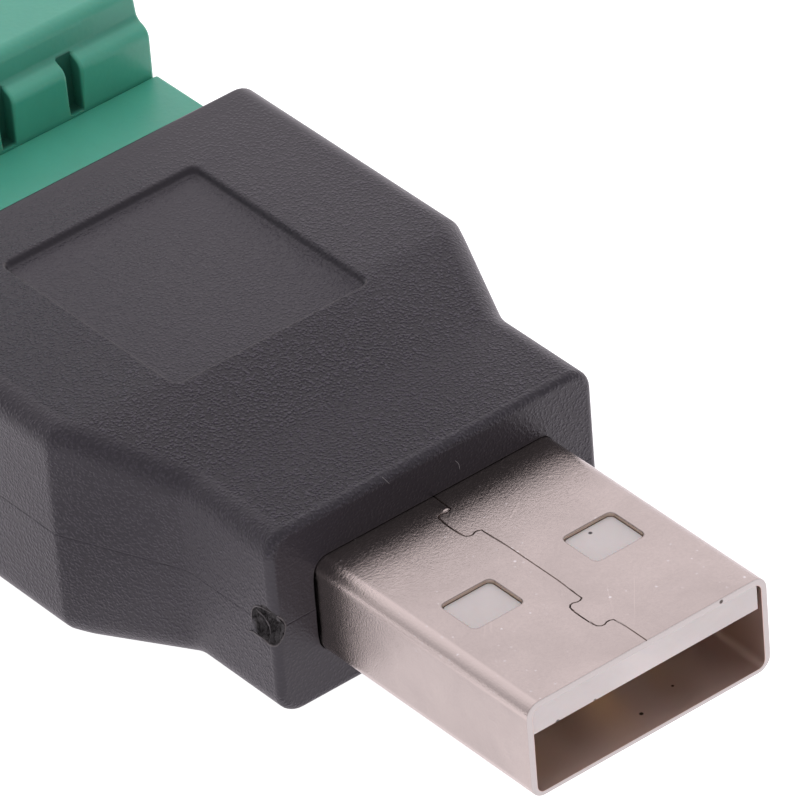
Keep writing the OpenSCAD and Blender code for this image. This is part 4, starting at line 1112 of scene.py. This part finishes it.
    def torn_flash(self, mould):
        """Curls of torn plastic round the gate: thin tubes along paths with cut corners, thick in their middle."""
        side = -mould.narrow_width / MM / 2
        curls = [
            (0.036, [(-0.02, 1.70, -0.91), (-0.06, 1.35, -0.70), (-0.05, 1.00, -0.74), (-0.04, 0.70, -0.72),
                     (-0.06, 0.32, -0.80), (0.02, 0.00, -0.74), (0.26, -0.05, -0.56), (0.44, -0.02, -0.30)]),
            (0.032, [(0.06, 1.20, 0.45), (0.24, 0.98, 0.10), (0.32, 0.72, -0.25), (0.20, 0.55, -0.55)]),
            (0.026, [(0.00, 1.38, -0.40), (-0.01, 1.44, -0.05), (-0.01, 1.34, 0.40), (0.00, 1.02, 0.72),
                     (0.02, 0.60, 0.76), (0.10, 0.22, 0.72)]),
            (0.045, [(0.20, 0.02, 0.66), (0.46, 0.02, 0.32), (0.56, 0.02, -0.05), (0.44, 0.00, -0.36)])]
        tubes = []
        for thick, places in curls:
            path = cut_corners(np.array(places) + np.array([side, FRONT_Y, MID_Z]), 3)
            t = np.linspace(-1.0, 1.0, len(path))
            tubes.append(tube(path, thick * np.sqrt(np.maximum(1 - t * t, 1e-3)) * (1 + 0.25 * np.sin(9 * t))))
        return joined(tubes)

    def fibres(self):
        """Two short dust fibres on the front face: thin bent tubes."""
        bends = np.array([[(-2.32, 0.12, 9.42), (-2.22, -0.005, 9.25), (-2.10, -0.01, 9.05)],
                          [(1.16, -0.01, 8.45), (1.30, -0.02, 8.25), (1.34, -0.01, 7.95)]])
        paths = [cut_corners(bend + np.array([0.0, FRONT_Y, 0.0]), 3) for bend in bends]
        return joined([tube(path, np.full(len(path), 0.009), 8) for path in paths])


class ADAPTER_OT_board(bpy.types.Operator):
    """Finish the carrier board and the header's pins."""
    bl_idname = "adapter.finish_board"
    bl_label = "Board and pins"

    def execute(self, context):
        terminal = context.scene.adapter_looks.terminal
        laminate = plastic_finish("board_laminate", terminal.laminate, roughness=0.4, patches=300.0,
                                  grain=0.0004, depth=0.000004)[0]
        tin = metal_finish("matt_tin", terminal.tin, (0.35, 0.33, 0.30),
                           roughness=0.36, patches=600.0, peel=0.000006)[0]
        dress_node("carrier_board", laminate, terminal.metal_round)
        for pole in POLES:
            dress_node("header_pin_%d" % pole, tin, terminal.metal_round)
        return {"FINISHED"}


class ADAPTER_OT_header(bpy.types.Operator):
    """Finish the green header."""
    bl_idname = "adapter.finish_header"
    bl_label = "Terminal header"

    def execute(self, context):
        terminal = context.scene.adapter_looks.terminal
        green = green_finish("green_header", terminal.green, roughness=0.36, patches=160.0)[0]
        softened_copy("terminal_header", "header_housing", green, "adapter", terminal.edge_round,
                      self.rounded)
        return {"FINISHED"}

    def rounded(self, at, way):
        """Chosen edges: outside the body, on the header's sides or above and below its mouth."""
        mouth = 2.3
        outer = (np.abs(at[:, 2] - MID_Z) > mouth) | (np.abs(at[:, 0]) > HEADER_HIGH[0] - 0.01)
        return (at[:, 1] > BODY_HIGH[1]) & outer


class ADAPTER_OT_plug(bpy.types.Operator):
    """Finish the green terminal plug."""
    bl_idname = "adapter.finish_plug"
    bl_label = "Terminal plug"

    def execute(self, context):
        terminal = context.scene.adapter_looks.terminal
        green, tree, shader, place, last, _ = green_finish("green_plug", terminal.green,
                                                           roughness=0.34, patches=150.0)
        # Painted shade: the green is darkened to 0.3 in the slots and in the hollow behind the front ribs.
        for i, mask in enumerate((self.slot_shade(tree, place, terminal), self.hollow_shade(tree, place, terminal))):
            last = over(tree, 240 + 200 * i, 500, mask, last, scaled(terminal.green, 0.3))
        feed(tree, shader, {"Base Color": last})
        softened_copy("terminal_plug", "plug_housing", green, "terminal_plug", terminal.edge_round,
                      self.rounded)
        return {"FINISHED"}

    def rounded(self, at, way):
        """Chosen edges: behind the header, at the sides, the rear and the top, but not across the front ribs."""
        high = box("plug_housing")[1]
        side, rear = np.abs(at[:, 0]) > high[0] - 0.01, at[:, 1] > high[1] - 0.01
        along = (np.abs(way[:, 0]) < 0.9) | (at[:, 1] > HEADER_HIGH[1] + 1.4)
        return (at[:, 1] > HEADER_HIGH[1]) & (side | rear | (at[:, 2] > HEADER_HIGH[2] + 0.01) & along)

    def hollow_shade(self, tree, place, terminal):
        """Painted shade in the hollow behind the front ribs: fades up the leaning face and ends at the ribs' top."""
        split = put(tree, "SeparateXYZ", -900, 1300, {0: place}).outputs
        face, hollow = HEADER_HIGH[1] * MM, HEADER_HIGH[2] * MM + terminal.hollow
        behind = ranged(tree, -500, 1400, split["Y"], 0.0, 0.35, face + 0.55 * MM, face + 0.8 * MM)
        before = ranged(tree, -500, 1200, split["Y"], 1.0, 0.0, face + 1.3 * MM, face + 1.6 * MM)
        rise = ranged(tree, -500, 1600, split["Z"], 1.0, 0.0, hollow, hollow + 1.7 * MM)
        return times(tree, 0, 1400, times(tree, -240, 1400, behind, before), rise)

    def slot_shade(self, tree, place, terminal):
        """Painted shade in the slots between the front ribs: near odd multiples of half the pitch, behind the front
        face.
        """
        split = put(tree, "SeparateXYZ", -900, 700, {0: place}).outputs
        fold = put(tree, "Math", -700, 800, {0: split["X"], 1: terminal.pitch / 2}, operation="PINGPONG")
        slot, face = (terminal.pitch - terminal.slot_width) / 2, HEADER_HIGH[1] * MM
        between = ranged(tree, -500, 800, fold.outputs[0], 0.0, 1.0, slot - 0.02 * MM, slot + 0.01 * MM)
        deep = ranged(tree, -500, 600, split["Y"], 0.0, 1.0, face + 0.05 * MM, face + 0.3 * MM)
        front = ranged(tree, -500, 400, split["Y"], 1.0, 0.0, face + 0.75 * MM, face + 0.8 * MM)
        size = put(tree, "Math", -700, 1000, {0: split["X"]}, operation="ABSOLUTE")
        inner = ranged(tree, -500, 1000, size.outputs[0], 1.0, 0.0, 2.0 * terminal.pitch, 2.05 * terminal.pitch)
        return times(tree, 200, 700, times(tree, 0, 700, times(tree, -240, 700, between, deep), front), inner)


class ADAPTER_OT_clamps(bpy.types.Operator):
    """Finish the spring contacts, the rising cages and the slotted screws."""
    bl_idname = "adapter.finish_clamps"
    bl_label = "Contacts and clamps"

    def execute(self, context):
        terminal = context.scene.adapter_looks.terminal
        brass = metal_finish("plated_brass", terminal.brass, (0.3, 0.24, 0.16),
                             roughness=0.30, patches=500.0, peel=0.000006)[0]
        contact = metal_finish("tinned_spring", scaled(terminal.brass, 1.06), (0.3, 0.26, 0.2),
                               roughness=0.34, patches=600.0, peel=0.000005)[0]
        zinc = metal_finish("bright_zinc", terminal.zinc, (0.3, 0.29, 0.27),
                            roughness=0.28, patches=700.0, peel=0.000006)[0]
        for pole in POLES:
            dress_node("plug_contact_%d" % pole, contact, terminal.metal_round)
            dress_node("clamp_cage_%d" % pole, brass, terminal.metal_round)
            dress_node("clamp_screw_%d" % pole, zinc, terminal.metal_round)
        return {"FINISHED"}


class ADAPTER_PT_looks(bpy.types.Panel):
    """Lists the adapter's pieces and their settings."""
    bl_idname = "ADAPTER_PT_looks"
    bl_label = "Adapter looks"
    bl_space_type = "VIEW_3D"
    bl_region_type = "UI"
    bl_category = "Adapter"

    def draw(self, context):
        looks = context.scene.adapter_looks
        for operator in OPERATORS:
            self.layout.operator(operator.bl_idname)
        for group in (looks.shell, looks.moulding, looks.terminal, looks.stage):
            area = self.layout.box()
            for key in group.bl_rna.properties.keys():
                if key not in ("rna_type", "name"):
                    area.prop(group, key)


OPERATORS = (ADAPTER_OT_stage, ADAPTER_OT_shell, ADAPTER_OT_insulator, ADAPTER_OT_body, ADAPTER_OT_board,
             ADAPTER_OT_header, ADAPTER_OT_plug, ADAPTER_OT_clamps)
CLASSES = (ADAPTER_PG_shell, ADAPTER_PG_moulding, ADAPTER_PG_terminal, ADAPTER_PG_stage, ADAPTER_PG_looks,
           *OPERATORS, ADAPTER_PT_looks)


def register():
    """Registers all classes and puts the settings on the scene."""
    for cls in CLASSES:
        bpy.utils.register_class(cls)
    bpy.types.Scene.adapter_looks = PointerProperty(type=ADAPTER_PG_looks)


def unregister():
    """Takes the settings and all classes away again."""
    del bpy.types.Scene.adapter_looks
    for cls in reversed(CLASSES):
        bpy.utils.unregister_class(cls)


def main():
    register()
    bpy.ops.adapter.set_stage()
    bpy.ops.adapter.fold_shell()
    bpy.ops.adapter.finish_insulator()
    bpy.ops.adapter.mould_body()
    bpy.ops.adapter.finish_board()
    bpy.ops.adapter.finish_header()
    bpy.ops.adapter.finish_plug()
    bpy.ops.adapter.finish_clamps()


if __name__ == "__main__":
    main()
